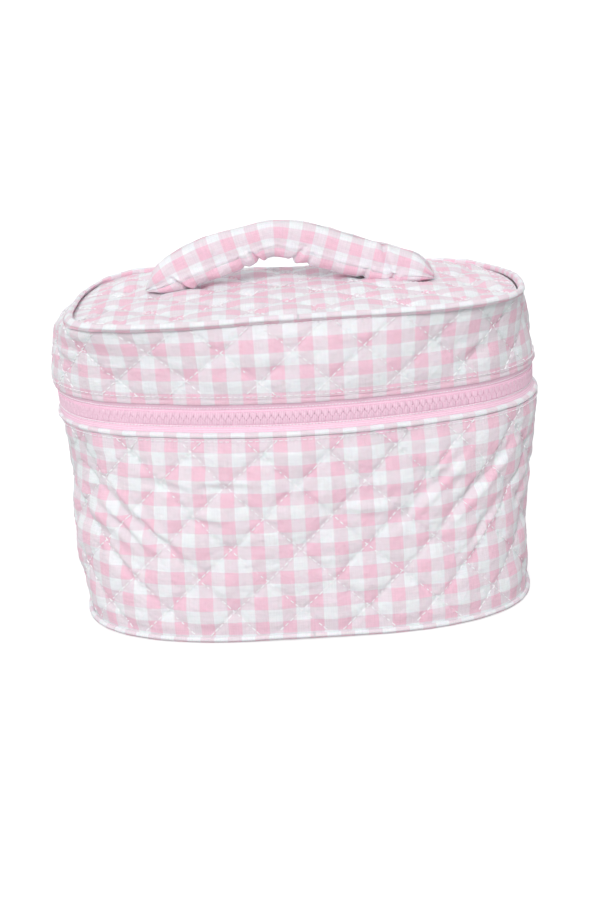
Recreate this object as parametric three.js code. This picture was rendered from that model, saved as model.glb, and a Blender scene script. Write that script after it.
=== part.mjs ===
// A quilted makeup bag: an oval train case with a zip-round lid and a padded top handle.
// Millimetres, +Z up. The bag stands on z = 0 with its middle over the origin, its front
// faces -Y and its zip runs round the front and both ends, between two seams at the back.

import * as THREE from "three";

// ---------------------------------------------------------------- driving dimensions

// The zip line is an oval of four true arcs: two end arcs joined by long front and back arcs.
const HALF_WIDTH = 115;
const HALF_DEPTH = 69.1;
const END_RADIUS = 58;

// The base and the lid top are rounded rectangles, drawn as superellipses.
const BASE = { halfWidth: 109.8, halfDepth: 69.6, power: 2.85 };
const TOP = { halfWidth: 105.3, halfDepth: 66, power: 4.3 };
const LID_CURVE = 3; // how late the lid turns in towards its top seam

const ZIP_LOW = 101; // height of the body's top edge
const ZIP_HIGH = 113.8; // height of the lid's bottom edge
const TOP_SEAM = 151.5; // height of the piping round the lid top
const TOP_RISE = 2.6; // how far the lid top swells above its seam
const TOP_LIFT = 0.5; // of the lid top's edge above the seam's middle
const DOME_RINGS = [1, 0.7, 0.35]; // of the lid top, as shares of its outline
const GAP = 0.3; // left between layers that touch in the real bag

// Layers of the wall, as distances inwards from its outer surface.
const SHELL = [0, 2.3]; // quilted face cloth
const WADDING = [2.9, 4.4];
const TAPE = [5.0, 5.8];
const LINING = [6.3, 7.0];
const TEETH = [2.2, 4.7];
const HEM = [1.2, 4.6];

const HEM_HEIGHT = 2.4;
const PIPING_RADIUS = 1.9;
const PIPING_INSET = 1.2;
const BASE_THICKNESS = 3.4;
const BOARD_THICKNESS = 1.6;
const BOARD_INSET = 2.5; // from the base's edge to the board's
const TOP_THICKNESS = 2.2;
const TOP_FILL = 1.8; // thickness of the wadding under the lid top
const INNER_CLEARANCE = 3.2; // of the lid's inner layers from its band, which leans in
const LINING_THICKNESS = 0.7;

const TOOTH_ROW = 1.9; // height of one row of teeth
const TOOTH_GAP = 1.0; // between the rows, where the slider's web runs
const TAPE_TUCK = 5; // how far each tape reaches behind its wall

const SLIDER = { length: 13, height: 9.6, plate: 1.2, web: 0.4, clearance: 0.4 };
const SLIDER_PARK = THREE.MathUtils.degToRad(60); // on the right end arc, towards the back
const BAIL = { length: 9, height: 2.6, rise: 2.8, bar: 1, chamfer: 0.6, shoulder: 0.9 };
const PULL = { length: 25, height: 7.6, thickness: 1.2, eye: 5, bar: 1.2, play: 0.15, lift: 0.2 };
// The pull's outline: how far it narrows at its waist and tip, and where its tip's round starts.
const PULL_SHAPE = { waist: 1.2, tip: 0.4, middle: 0.6, round: 3, corner: 1 };

const HANDLE_REACH = 69; // from the middle to where each end meets its sewn tab
const HANDLE_RISE = 18.3; // of the middle above the ends
const HANDLE_RADIUS = 9.2;
const HANDLE_END_RADIUS = 3.7;
const HANDLE_SLIM = 0.7; // how fast the handle thins towards its ends
const HANDLE_ARCH = 1.6; // above 1 the arch flattens into its ends
const HANDLE_LIFT = 4.6; // of the end's axis above the lid
const HANDLE_CROWDING = 0.35; // how far the stations crowd towards the ends
const HANDLE_COVER_SHARE = 0.999; // of the reach, so the ends stay open rings
const HANDLE_CORE_SHARE = 0.97;
const NUDGE = 0.01; // a step small enough to measure a slope
const COVER_THICKNESS = 0.8;
// A sewn tab is a short gather of the sleeve, a wedge with a shoulder.
const TAB = { length: 5, width: 14, high: 8, low: 2.4, shoulder: 0.35, shoulderHigh: 0.72 };

const TAB_CLEARANCE = 1; // between the handle's end and its tab

const WALL_STEPS = 60; // stations round a whole ring of wall
const ZIP_STEPS = 66; // stations along the zip
const PIPING_SIDES = 6;

// ---------------------------------------------------------------- materials

function cloth(colour, roughness = 0.85) {
  return new THREE.MeshStandardMaterial({ color: colour, roughness, metalness: 0 });
}

const GINGHAM = cloth(0xf0d3df);
const HANDLE_CLOTH = cloth(0xf3dae4);
const WELT = cloth(0xefc9d9);
const TAPE_PINK = cloth(0xefc8da, 0.75);
const TEETH_PINK = cloth(0xeeb9d0, 0.45);
const LINING_PINK = cloth(0xf6e4ec, 0.7);
const FILLING = cloth(0xf7f5f3, 0.95);
const BOARD = cloth(0xd8d2cc, 0.6);
const ENAMEL = new THREE.MeshStandardMaterial({
  color: 0xeeb4cd,
  roughness: 0.35,
  metalness: 0.3,
});

// ---------------------------------------------------------------- outline of the bag

const endCentre = HALF_WIDTH - END_RADIUS;
const sideRadius =
  (endCentre ** 2 + HALF_DEPTH ** 2 - END_RADIUS ** 2) / (2 * (HALF_DEPTH - END_RADIUS));
const sideCentre = sideRadius - HALF_DEPTH;
const endSweep = Math.atan2(sideCentre, endCentre); // half of an end arc
const seamX = endCentre + END_RADIUS * Math.cos(endSweep);
const seamY = END_RADIUS * Math.sin(endSweep);
const seamAngle = Math.atan2(seamY / HALF_DEPTH, seamX / HALF_WIDTH);

// The distance along a ray from the origin to the far side of a circle.
function rayToCircle(dirX, dirY, centreX, centreY, radius) {
  const along = dirX * centreX + dirY * centreY;
  const apart = centreX ** 2 + centreY ** 2 - along ** 2;
  return along + Math.sqrt(radius ** 2 - apart);
}

function ovalPoint(angle) {
  const x = HALF_WIDTH * Math.cos(angle);
  const y = HALF_DEPTH * Math.sin(angle);
  const long = Math.hypot(x, y);
  const dir = [Math.abs(x) / long, Math.abs(y) / long];
  const atEnd = dir[1] * seamX <= dir[0] * seamY;
  const reach = atEnd
    ? rayToCircle(dir[0], dir[1], endCentre, 0, END_RADIUS)
    : rayToCircle(dir[0], dir[1], 0, -sideCentre, sideRadius);
  return [(x / long) * reach, (y / long) * reach];
}

function superPoint(angle, { halfWidth, halfDepth, power }) {
  const c = Math.cos(angle);
  const s = Math.sin(angle);
  const scale = (Math.abs(c) ** power + Math.abs(s) ** power) ** (-1 / power);
  return [halfWidth * c * scale, halfDepth * s * scale];
}

function surfacePoint(angle, z) {
  const oval = ovalPoint(angle);
  if (z >= ZIP_LOW && z <= ZIP_HIGH) return oval;
  const low = z < ZIP_LOW;
  const share = low
    ? 1 - Math.max(z, 0) / ZIP_LOW
    : Math.min(1, (z - ZIP_HIGH) / (TOP_SEAM - ZIP_HIGH)) ** LID_CURVE;
  const other = superPoint(angle, low ? BASE : TOP);
  return [oval[0] + (other[0] - oval[0]) * share, oval[1] + (other[1] - oval[1]) * share];
}

// A point of the bag's wall, so far inwards from its outer surface.
function wallPoint(angle, inset, z, shapeZ = z) {
  const step = 1e-3;
  const [x, y] = surfacePoint(angle, shapeZ);
  const [ax, ay] = surfacePoint(angle - step, shapeZ);
  const [bx, by] = surfacePoint(angle + step, shapeZ);
  const long = Math.hypot(bx - ax, by - ay);
  return [x - ((by - ay) / long) * inset, y + ((bx - ax) / long) * inset, z];
}

// ---------------------------------------------------------------- solids

function solid(positions, index) {
  let volume = 0;
  const at = (i) => new THREE.Vector3().fromArray(positions, 3 * i);
  for (let i = 0; i < index.length; i += 3)
    volume += at(index[i]).dot(at(index[i + 1]).cross(at(index[i + 2])));
  if (volume < 0) index.reverse();
  const geometry = new THREE.BufferGeometry();
  geometry.setAttribute("position", new THREE.Float32BufferAttribute(positions, 3));
  geometry.setIndex(index);
  geometry.computeVertexNormals();
  return geometry;
}

// Carries a closed profile through a run of stations; place(t, u, v) puts a profile point
// in space for t from 0 to 1. A joined run closes on itself, any other is capped.
function sweep(profile, stations, place, joined = false) {
  const count = profile.length;
  const rows = joined ? stations : stations + 1;
  const positions = [];
  for (let i = 0; i < rows; i++)
    for (const [u, v] of profile) positions.push(...place(i / stations, u, v));

  const index = [];
  for (let i = 0; i < stations; i++) {
    const a = i * count;
    const b = ((i + 1) % rows) * count;
    for (let j = 0; j < count; j++) {
      const k = (j + 1) % count;
      index.push(a + j, b + j, b + k, a + j, b + k, a + k);
    }
  }
  if (!joined) {
    const contour = profile.map(([u, v]) => new THREE.Vector2(u, v));
    const turn = Math.sign(THREE.ShapeUtils.area(contour));
    for (const [a, b, c] of THREE.ShapeUtils.triangulateShape(contour, [])) {
      const same = Math.sign(THREE.ShapeUtils.area([contour[a], contour[b], contour[c]])) === turn;
      const face = same ? [a, b, c] : [c, b, a];
      const last = (rows - 1) * count;
      index.push(...face, last + face[2], last + face[1], last + face[0]);
    }
  }
  return solid(positions, index);
}

// Closes a stack of rings with a point at each end.
function stack(rings, firstPoint, lastPoint) {
  const count = rings[0].length;
  const positions = [...firstPoint, ...rings.flat(2), ...lastPoint];
  const last = positions.length / 3 - 1;
  const index = [];
  for (let j = 0; j < count; j++) {
    const k = (j + 1) % count;
    index.push(0, 1 + k, 1 + j);
    for (let i = 0; i + 1 < rings.length; i++) {
      const a = 1 + i * count;
      const b = a + count;
      index.push(a + j, a + k, b + k, a + j, b + k, b + j);
    }
    const top = 1 + (rings.length - 1) * count;
    index.push(top + j, top + k, last);
  }
  return solid(positions, index);
}

function ring(inset, z, shapeZ, scale = 1) {
  const points = [];
  for (let i = 0; i < WALL_STEPS; i++) {
    const [x, y] = wallPoint((2 * Math.PI * i) / WALL_STEPS, inset, z, shapeZ);
    points.push([x * scale, y * scale, z]);
  }
  return points;
}

// A band of the wall all the way round.
function wallRing(profile) {
  return sweep(
    profile,
    WALL_STEPS,
    (t, inset, z) => wallPoint(2 * Math.PI * t, inset, z),
    true,
  );
}

// A band of the wall round the front and both ends, from one back seam to the other.
function frontBand(profile, steps, seamGap = GAP / 2) {
  const trim = seamGap / END_RADIUS;
  const from = Math.PI - seamAngle + trim;
  const sweepAngle = Math.PI + 2 * seamAngle - 2 * trim;
  return sweep(profile, steps, (t, inset, z) => wallPoint(from + sweepAngle * t, inset, z));
}

// A band of the wall across the back, between the two back seams.
function backBand(profile, steps, seamGap = GAP / 2) {
  const trim = seamGap / END_RADIUS;
  const from = seamAngle + trim;
  const sweepAngle = Math.PI - 2 * seamAngle - 2 * trim;
  return sweep(profile, steps, (t, inset, z) => wallPoint(from + sweepAngle * t, inset, z));
}

// A closed profile between two insets, with a point at each height.
function bandProfile([outside, inside], heights) {
  return [
    ...heights.map((z) => [outside, z]),
    ...heights.toReversed().map((z) => [inside, z]),
  ];
}

function plate(inset, low, high, shapeZ) {
  return stack(
    [ring(inset, low, shapeZ), ring(inset, high, shapeZ)],
    [0, 0, low],
    [0, 0, high],
  );
}

// A swelling sheet under the lid top: the same dome above and below.
function dome(inset, drop, thickness) {
  const height = (share) => TOP_SEAM + TOP_LIFT - drop + TOP_RISE * (1 - share ** 2);
  const level = (share, z) => ring(inset, z, TOP_SEAM, share);
  return stack(
    [
      ...DOME_RINGS.toReversed().map((s) => level(s, height(s) - thickness)),
      ...DOME_RINGS.map((s) => level(s, height(s))),
    ],
    [0, 0, height(0) - thickness],
    [0, 0, height(0)],
  );
}

function piping(z) {
  const profile = [];
  for (let i = 0; i < PIPING_SIDES; i++) {
    const turn = (2 * Math.PI * (i + 0.5)) / PIPING_SIDES;
    profile.push([
      PIPING_INSET + PIPING_RADIUS * Math.cos(turn),
      z + PIPING_RADIUS * Math.sin(turn),
    ]);
  }
  return wallRing(profile);
}

// ---------------------------------------------------------------- the bag's three groups

const bag = new THREE.Group();
const body = new THREE.Group();
const lid = new THREE.Group();
const handle = new THREE.Group();
bag.add(body, lid, handle);

function add(group, name, geometry, material) {
  const mesh = new THREE.Mesh(geometry, material);
  mesh.name = name;
  group.add(mesh);
}

const zipMiddle = (ZIP_LOW + ZIP_HIGH) / 2;
const bodyWallTop = ZIP_LOW - HEM_HEIGHT - GAP;
const lidWallLow = ZIP_HIGH + HEM_HEIGHT + GAP;

// ---------------------------------------------------------------- body

const pipingHeight = PIPING_RADIUS + GAP;
const wallLow = pipingHeight + PIPING_RADIUS + GAP;
const boardLow = BASE_THICKNESS + GAP;
const floorLow = boardLow + BOARD_THICKNESS + GAP;
const bodyHeights = [wallLow, 50, bodyWallTop];

add(body, "body_wall", frontBand(bandProfile(SHELL, bodyHeights), 46), GINGHAM);
add(body, "back_panel_lower", backBand(bandProfile(SHELL, bodyHeights), 14), GINGHAM);
add(
  body,
  "body_wadding",
  wallRing(bandProfile(WADDING, [wallLow + 1, 50, bodyWallTop])),
  FILLING,
);
add(
  body,
  "body_lining",
  wallRing(bandProfile(LINING, [floorLow + LINING_THICKNESS + GAP, 50, bodyWallTop])),
  LINING_PINK,
);
add(body, "body_hem", frontBand(bandProfile(HEM, [ZIP_LOW - HEM_HEIGHT, ZIP_LOW]), 46), WELT);
add(body, "base_piping", piping(pipingHeight), GINGHAM);
const baseInset = PIPING_INSET + PIPING_RADIUS + GAP;
add(body, "base_panel", plate(baseInset, 0, BASE_THICKNESS, 0), GINGHAM);
add(
  body,
  "base_board",
  plate(baseInset + BOARD_INSET, boardLow, boardLow + BOARD_THICKNESS, 0),
  BOARD,
);
add(
  body,
  "base_lining",
  plate(baseInset + BOARD_INSET, floorLow, floorLow + LINING_THICKNESS, 0),
  LINING_PINK,
);

// ---------------------------------------------------------------- zip

const rowLow = zipMiddle - TOOTH_GAP / 2 - TOOTH_ROW;
const rowHigh = zipMiddle + TOOTH_GAP / 2 + TOOTH_ROW;
const tapeSplit = TOOTH_GAP / 2 + GAP;

add(
  body,
  "zip_tape_lower",
  frontBand(bandProfile(TAPE, [ZIP_LOW - TAPE_TUCK, zipMiddle - tapeSplit]), ZIP_STEPS),
  TAPE_PINK,
);
add(
  body,
  "zip_teeth_lower",
  frontBand(bandProfile(TEETH, [rowLow, rowLow + TOOTH_ROW]), ZIP_STEPS),
  TEETH_PINK,
);
add(
  lid,
  "zip_tape_upper",
  frontBand(bandProfile(TAPE, [zipMiddle + tapeSplit, ZIP_HIGH + TAPE_TUCK]), ZIP_STEPS),
  TAPE_PINK,
);
add(
  lid,
  "zip_teeth_upper",
  frontBand(bandProfile(TEETH, [rowHigh - TOOTH_ROW, rowHigh]), ZIP_STEPS),
  TEETH_PINK,
);

// The cloth hinge across the back, behind the two back panels.
add(
  body,
  "hinge_strip",
  backBand(bandProfile(TAPE, [ZIP_LOW - TAPE_TUCK, zipMiddle, ZIP_HIGH + TAPE_TUCK]), 14, 2),
  WELT,
);

// ---------------------------------------------------------------- lid

const lidWallTop = TOP_SEAM - PIPING_RADIUS - GAP;
const liningTop = TOP_SEAM - 6;
const innerHeights = [lidWallLow, 128, 138, liningTop];
const lidHeights = [...innerHeights, lidWallTop];

add(lid, "lid_band", frontBand(bandProfile(SHELL, lidHeights), 46), GINGHAM);
add(lid, "back_panel_upper", backBand(bandProfile(SHELL, lidHeights), 14), GINGHAM);
add(lid, "lid_band_wadding", wallRing(bandProfile(WADDING, innerHeights)), FILLING);
add(lid, "lid_band_lining", wallRing(bandProfile(LINING, innerHeights)), LINING_PINK);
add(lid, "lid_hem", frontBand(bandProfile(HEM, [ZIP_HIGH, ZIP_HIGH + HEM_HEIGHT]), 46), WELT);
add(lid, "top_piping", piping(TOP_SEAM), GINGHAM);

const topInset = PIPING_INSET + PIPING_RADIUS + GAP;
const innerInset = topInset + INNER_CLEARANCE;
add(lid, "lid_top_panel", dome(topInset, 0, TOP_THICKNESS), GINGHAM);
add(lid, "lid_top_wadding", dome(innerInset, TOP_THICKNESS + GAP, TOP_FILL), FILLING);
add(
  lid,
  "lid_top_lining",
  dome(innerInset, TOP_THICKNESS + TOP_FILL + 2 * GAP, LINING_THICKNESS),
  LINING_PINK,
);

// ---------------------------------------------------------------- handle

const endShare = (HANDLE_REACH + 1) / (TOP.halfWidth - topInset);
const lidTopAtEnd = TOP_SEAM + TOP_LIFT + TOP_RISE * (1 - endShare ** 2);
const handleAxis = lidTopAtEnd + HANDLE_LIFT;

function handleRise(x) {
  return HANDLE_RISE * Math.cos((Math.PI * x) / (2 * HANDLE_REACH + NUDGE)) ** HANDLE_ARCH;
}

function handleRadius(x) {
  return Math.min(HANDLE_RADIUS, HANDLE_END_RADIUS + HANDLE_SLIM * handleRise(x));
}

// A point of the handle: share from -1 to 1 along it, turn round it, so deep under its skin.
function handlePoint(share, turn, depth) {
  const x = share * HANDLE_REACH;
  const slope = (handleRise(x + NUDGE) - handleRise(x - NUDGE)) / (2 * NUDGE);
  const long = Math.hypot(1, slope);
  const radius = handleRadius(x) - depth;
  const up = radius * Math.cos(turn);
  return [
    x - (slope / long) * up,
    radius * Math.sin(turn),
    handleAxis + handleRise(x) + up / long,
  ];
}

const HANDLE_STATIONS = 18;
const HANDLE_SIDES = 12;
const shares = Array.from({ length: HANDLE_STATIONS + 1 }, (_, i) => {
  const even = (2 * i) / HANDLE_STATIONS - 1;
  return Math.sin((Math.PI / 2) * even) * HANDLE_CROWDING + even * (1 - HANDLE_CROWDING);
});

function handleCover() {
  const profile = [
    ...shares.map((s) => [s * HANDLE_COVER_SHARE, 0]),
    ...shares.toReversed().map((s) => [s * HANDLE_COVER_SHARE, COVER_THICKNESS]),
  ];
  const place = (t, share, depth) => handlePoint(share, 2 * Math.PI * t, depth);
  return sweep(profile, HANDLE_SIDES, place, true);
}

function handleCore() {
  const depth = COVER_THICKNESS + GAP;
  const inside = shares.map((s) => s * HANDLE_CORE_SHARE);
  const rings = inside.map((s) =>
    Array.from({ length: HANDLE_SIDES }, (_, i) =>
      handlePoint(s, (2 * Math.PI * i) / HANDLE_SIDES, depth),
    ),
  );
  const endPoint = (share) => {
    const x = share * HANDLE_REACH;
    return [x, 0, handleAxis + handleRise(x)];
  };
  return stack(rings, endPoint(inside[0]), endPoint(inside.at(-1)));
}

add(handle, "handle_cover", handleCover(), HANDLE_CLOTH);
add(handle, "handle_core", handleCore(), FILLING);

// Each end of the handle is folded flat and sewn down on the lid top.
function sewnTab() {
  const side = new THREE.Shape([
    new THREE.Vector2(0, 0),
    new THREE.Vector2(TAB.length, 0),
    new THREE.Vector2(TAB.length, TAB.low),
    new THREE.Vector2(TAB.length * TAB.shoulder, TAB.high * TAB.shoulderHigh),
    new THREE.Vector2(0, TAB.high),
  ]);
  const geometry = new THREE.ExtrudeGeometry(side, { depth: TAB.width, bevelEnabled: false });
  return geometry.translate(0, 0, -TAB.width / 2).rotateX(Math.PI / 2);
}

for (const [name, turn] of [
  ["handle_tab_right", 0],
  ["handle_tab_left", Math.PI],
]) {
  const seat = new THREE.Group();
  seat.rotation.z = turn;
  lid.add(seat);
  const tab = new THREE.Mesh(sewnTab(), HANDLE_CLOTH);
  tab.name = name;
  tab.position.set(HANDLE_REACH + TAB_CLEARANCE, 0, lidTopAtEnd + GAP);
  seat.add(tab);
}

// ---------------------------------------------------------------- slider and pull

// The slider's group turns about the centre of the right end arc, as the slider travels.
const slider = new THREE.Group();
slider.position.set(endCentre, 0, zipMiddle);
slider.rotation.z = SLIDER_PARK;
bag.add(slider);

const outerFace = TEETH[0] - SLIDER.clearance - SLIDER.plate;

// An I section carried along the arc: a plate outside the teeth, one inside the tape,
// and the web that joins them between the two rows.
function sliderBody() {
  const half = SLIDER.height / 2;
  const web = SLIDER.web / 2;
  const innerNear = TAPE[1] + SLIDER.clearance;
  const outerNear = outerFace + SLIDER.plate;
  const profile = [
    [outerFace, -half],
    [outerNear, -half],
    [outerNear, -web],
    [innerNear, -web],
    [innerNear, -half],
    [innerNear + 1, -half],
    [innerNear + 1, half],
    [innerNear, half],
    [innerNear, web],
    [outerNear, web],
    [outerNear, half],
    [outerFace, half],
  ];
  const spread = SLIDER.length / END_RADIUS;
  return sweep(profile, 6, (t, inset, z) => {
    const turn = (t - 0.5) * spread;
    const radius = END_RADIUS - inset;
    return [radius * Math.cos(turn), radius * Math.sin(turn), z];
  });
}

// The bail bridges the outer plate along the zip, and the pull's bar turns under it.
function sliderBail() {
  const half = BAIL.length / 2;
  const bridge = new THREE.Shape([
    new THREE.Vector2(0, -half),
    new THREE.Vector2(BAIL.rise - BAIL.chamfer, -half),
    new THREE.Vector2(BAIL.rise, -half + BAIL.shoulder),
    new THREE.Vector2(BAIL.rise, half - BAIL.shoulder),
    new THREE.Vector2(BAIL.rise - BAIL.chamfer, half),
    new THREE.Vector2(0, half),
    new THREE.Vector2(0, half - BAIL.bar),
    new THREE.Vector2(BAIL.rise - BAIL.bar, half - BAIL.bar),
    new THREE.Vector2(BAIL.rise - BAIL.bar, -half + BAIL.bar),
    new THREE.Vector2(0, -half + BAIL.bar),
  ]);
  return new THREE.ExtrudeGeometry(bridge, { depth: BAIL.height, bevelEnabled: false });
}

const plateFace = END_RADIUS - outerFace;
add(slider, "slider_body", sliderBody(), ENAMEL);
const bail = new THREE.Mesh(sliderBail(), ENAMEL);
bail.name = "slider_bail";
bail.position.set(plateFace + GAP, 0, -BAIL.height / 2);
slider.add(bail);

// A flat tab with an eye; its bar is the edge of the eye that lies under the bail.
function pullTab() {
  const half = PULL.height / 2;
  const back = -PULL.bar / 2;
  const { waist, tip, middle, round, corner } = PULL_SHAPE;
  const waistAt = PULL.length * middle;
  const roundAt = PULL.length - round;
  const shape = new THREE.Shape();
  shape.moveTo(back, -half + corner);
  shape.lineTo(back + corner, -half);
  shape.lineTo(PULL.eye + round, -half);
  shape.quadraticCurveTo(waistAt, -half + waist, roundAt, -half + tip);
  shape.quadraticCurveTo(PULL.length, -half + tip, PULL.length, 0);
  shape.quadraticCurveTo(PULL.length, half - tip, roundAt, half - tip);
  shape.quadraticCurveTo(waistAt, half - waist, PULL.eye + round, half);
  shape.lineTo(back + corner, half);
  shape.lineTo(back, half - corner);
  const eye = new THREE.Path();
  const eyeHalf = BAIL.height / 2 + GAP + PULL.play;
  eye.moveTo(PULL.bar / 2, -eyeHalf);
  eye.lineTo(PULL.bar / 2, eyeHalf);
  eye.lineTo(PULL.bar / 2 + PULL.eye, eyeHalf);
  eye.lineTo(PULL.bar / 2 + PULL.eye, -eyeHalf);
  shape.holes.push(eye);
  const flat = new THREE.ExtrudeGeometry(shape, {
    depth: PULL.thickness,
    bevelEnabled: false,
    curveSegments: 4,
  });
  return flat.translate(0, 0, -PULL.thickness / 2).rotateX(Math.PI / 2);
}

// The tab lies along the zip, pointing back, outside the bail's foot.
const pull = new THREE.Mesh(pullTab(), ENAMEL);
pull.name = "pull_tab";
pull.position.set(plateFace + GAP + PULL.lift + PULL.thickness / 2, 0, 0);
pull.rotation.z = Math.PI / 2;
slider.add(pull);

export default bag;
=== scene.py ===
# %% [markdown]
# # A quilted gingham makeup bag
# This lesson builds the looks of a small train case: quilted gingham cotton round a soft oval
# body, a lid that zips round the front and ends, piped seams and a padded handle. The packed
# model gives the frame, so most pieces are placed from its boxes and ride on its bodies.

# %% Load the frame
import math

import bpy
import numpy as np
from mathutils import Matrix, Vector


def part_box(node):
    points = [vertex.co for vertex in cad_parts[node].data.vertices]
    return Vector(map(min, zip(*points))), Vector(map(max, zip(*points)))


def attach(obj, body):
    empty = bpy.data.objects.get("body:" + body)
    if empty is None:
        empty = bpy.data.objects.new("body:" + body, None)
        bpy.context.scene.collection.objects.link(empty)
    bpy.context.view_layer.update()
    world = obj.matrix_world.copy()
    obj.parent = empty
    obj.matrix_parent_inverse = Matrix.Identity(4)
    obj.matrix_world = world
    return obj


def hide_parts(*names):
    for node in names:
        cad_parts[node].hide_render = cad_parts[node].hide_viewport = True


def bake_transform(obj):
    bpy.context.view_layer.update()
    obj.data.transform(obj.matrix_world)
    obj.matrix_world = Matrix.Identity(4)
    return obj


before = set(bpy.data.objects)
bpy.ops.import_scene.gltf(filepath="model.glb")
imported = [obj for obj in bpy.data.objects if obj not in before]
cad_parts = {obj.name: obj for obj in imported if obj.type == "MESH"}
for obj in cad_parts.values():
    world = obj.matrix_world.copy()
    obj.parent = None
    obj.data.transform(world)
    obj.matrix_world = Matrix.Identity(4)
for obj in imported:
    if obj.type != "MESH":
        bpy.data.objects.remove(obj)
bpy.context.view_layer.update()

MM = 0.001

# %% [markdown]
# ## Sizes
# The zip runs along an oval of four arcs, and the base and the lid top are rounder rectangles
# called superellipses. Their sizes are read from the boxes of the hems, the base and the
# piping, so the cloth follows the model if it changes.

# %% Driving sizes
CHECK = 6.35 * MM  # one woven check of quarter-inch gingham
HEM_INSET = 1.2 * MM
PIPING_INSET = 1.2 * MM
PIPING_RADIUS = 1.9 * MM
ZIP_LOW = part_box("body_hem")[1].z
ZIP_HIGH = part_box("lid_hem")[0].z
ZIP_MIDDLE = (ZIP_LOW + ZIP_HIGH) / 2
HALF_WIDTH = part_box("body_hem")[1].x + HEM_INSET
HALF_DEPTH = HEM_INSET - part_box("body_hem")[0].y
END_RADIUS = 58 * MM
BASE_POWER, TOP_POWER = 2.85, 4.3
LID_CURVE = 3


def piping_outline(node):
    """Half width and half depth of the wall where this piping runs, and its height."""
    low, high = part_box(node)
    grow = PIPING_INSET - PIPING_RADIUS * math.cos(math.radians(30))
    return high.x + grow, high.y + grow, (low.z + high.z) / 2


BASE_WIDTH, BASE_DEPTH, BASE_SEAM = piping_outline("base_piping")
TOP_WIDTH, TOP_DEPTH, TOP_SEAM = piping_outline("top_piping")
print("base", BASE_WIDTH, BASE_DEPTH, "top", TOP_WIDTH, TOP_DEPTH, TOP_SEAM)

# %% [markdown]
# ## The outline of the bag
# Cloth doesn't stretch much, so its checks stay upright and evenly spaced as it goes round a
# corner. Each outline is therefore cut into steps of equal length, starting at the middle of
# the front, and a point of the cloth is named by how far round it lies and how high.

# %% Outlines in even steps
ANGLES = np.linspace(-math.pi / 2, 3 * math.pi / 2, 4001)  # from the middle of the front
STEPS_ROUND = 2880


def superellipse(width, depth, power):
    """A rounded rectangle: power 2 gives an ellipse and a high power sharp corners."""
    c, s = np.cos(ANGLES), np.sin(ANGLES)
    scale = (np.abs(c) ** power + np.abs(s) ** power) ** (-1 / power)
    return np.stack([width * c * scale, depth * s * scale], 1)


def four_arc_oval():
    """The zip's line: two end arcs and two long side arcs that meet them smoothly."""
    centre = HALF_WIDTH - END_RADIUS
    radius = (centre**2 + HALF_DEPTH**2 - END_RADIUS**2) / (2 * (HALF_DEPTH - END_RADIUS))
    back = radius - HALF_DEPTH
    x, y = HALF_WIDTH * np.cos(ANGLES), HALF_DEPTH * np.sin(ANGLES)
    long = np.hypot(x, y)
    dx, dy = np.abs(x) / long, np.abs(y) / long
    turn = math.atan2(back, centre)
    seam = centre + END_RADIUS * math.cos(turn), END_RADIUS * math.sin(turn)
    at_end = dy * seam[0] <= dx * seam[1]
    cx, cy = np.where(at_end, centre, 0), np.where(at_end, 0, -back)
    r = np.where(at_end, END_RADIUS, radius)
    along = dx * cx + dy * cy
    reach = along + np.sqrt(r**2 - cx**2 - cy**2 + along**2)
    return np.stack([x / long * reach, y / long * reach], 1), seam


def evenly(points):
    """The same outline in steps of equal length, and its whole length."""
    step = np.linalg.norm(np.diff(points, axis=0), axis=1)
    along = np.concatenate([[0], np.cumsum(step)])
    share = np.linspace(0, 1, STEPS_ROUND + 1)
    at = share * along[-1]
    return np.stack([np.interp(at, along, points[:, k]) for k in (0, 1)], 1), along[-1]


oval_points, SEAM = four_arc_oval()
OVAL, GIRTH = evenly(oval_points)
BASE_LINE, _ = evenly(superellipse(BASE_WIDTH, BASE_DEPTH, BASE_POWER))
TOP_LINE, TOP_GIRTH = evenly(superellipse(TOP_WIDTH, TOP_DEPTH, TOP_POWER))
seam_index = np.argmin(np.hypot(OVAL[:, 0] - SEAM[0], OVAL[:, 1] - SEAM[1]))
SEAM_SHARE = seam_index / (len(OVAL) - 1)  # from the middle of the front to a back seam
print("girth at the zip", round(GIRTH, 4), "seam at share", round(SEAM_SHARE, 4))

# %% [markdown]
# ## From the flat outlines to a wall
# The walls are a soft blend of three outlines: the base, the zip and the lid top. A real maker
# would get the same form from a flat panel that is eased on to three seams. One function gives
# any point of it, a chosen distance outwards, and every piece on the walls is laid with it.

# %% The smooth wall
STEP_AHEAD = 5e-4  # share of the way round that gives the direction of the outline


def outline(line, share):
    """Points of an outline at those shares of the way round."""
    at = np.mod(share, 1) * (len(line) - 1)
    return np.stack([np.interp(at, np.arange(len(line)), line[:, k]) for k in (0, 1)], -1)


def wall(share, z, out=0.0):
    """Points of the bag's smooth wall, so far outwards from it; share 0 is mid front."""
    share, z = np.broadcast_arrays(np.asarray(share, float), np.asarray(z, float))

    def flat(at):
        oval = outline(OVAL, at)
        low = np.clip(1 - z / ZIP_LOW, 0, 1)[..., None]
        top = np.clip((z - ZIP_HIGH) / (TOP_SEAM - ZIP_HIGH), 0, 1)[..., None] ** LID_CURVE
        point = oval + (outline(BASE_LINE, at) - oval) * low
        return point + (outline(TOP_LINE, at) - oval) * top

    point, ahead, behind = flat(share), flat(share + STEP_AHEAD), flat(share - STEP_AHEAD)
    way = ahead - behind
    way /= np.linalg.norm(way, axis=-1, keepdims=True)
    out = np.broadcast_to(np.asarray(out, float), share.shape)
    x = point[..., 0] + way[..., 1] * out
    y = point[..., 1] - way[..., 0] * out
    return np.stack([x, y, z], -1)


print("middle of the front at the zip", wall(0, ZIP_MIDDLE).round(4))

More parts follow.
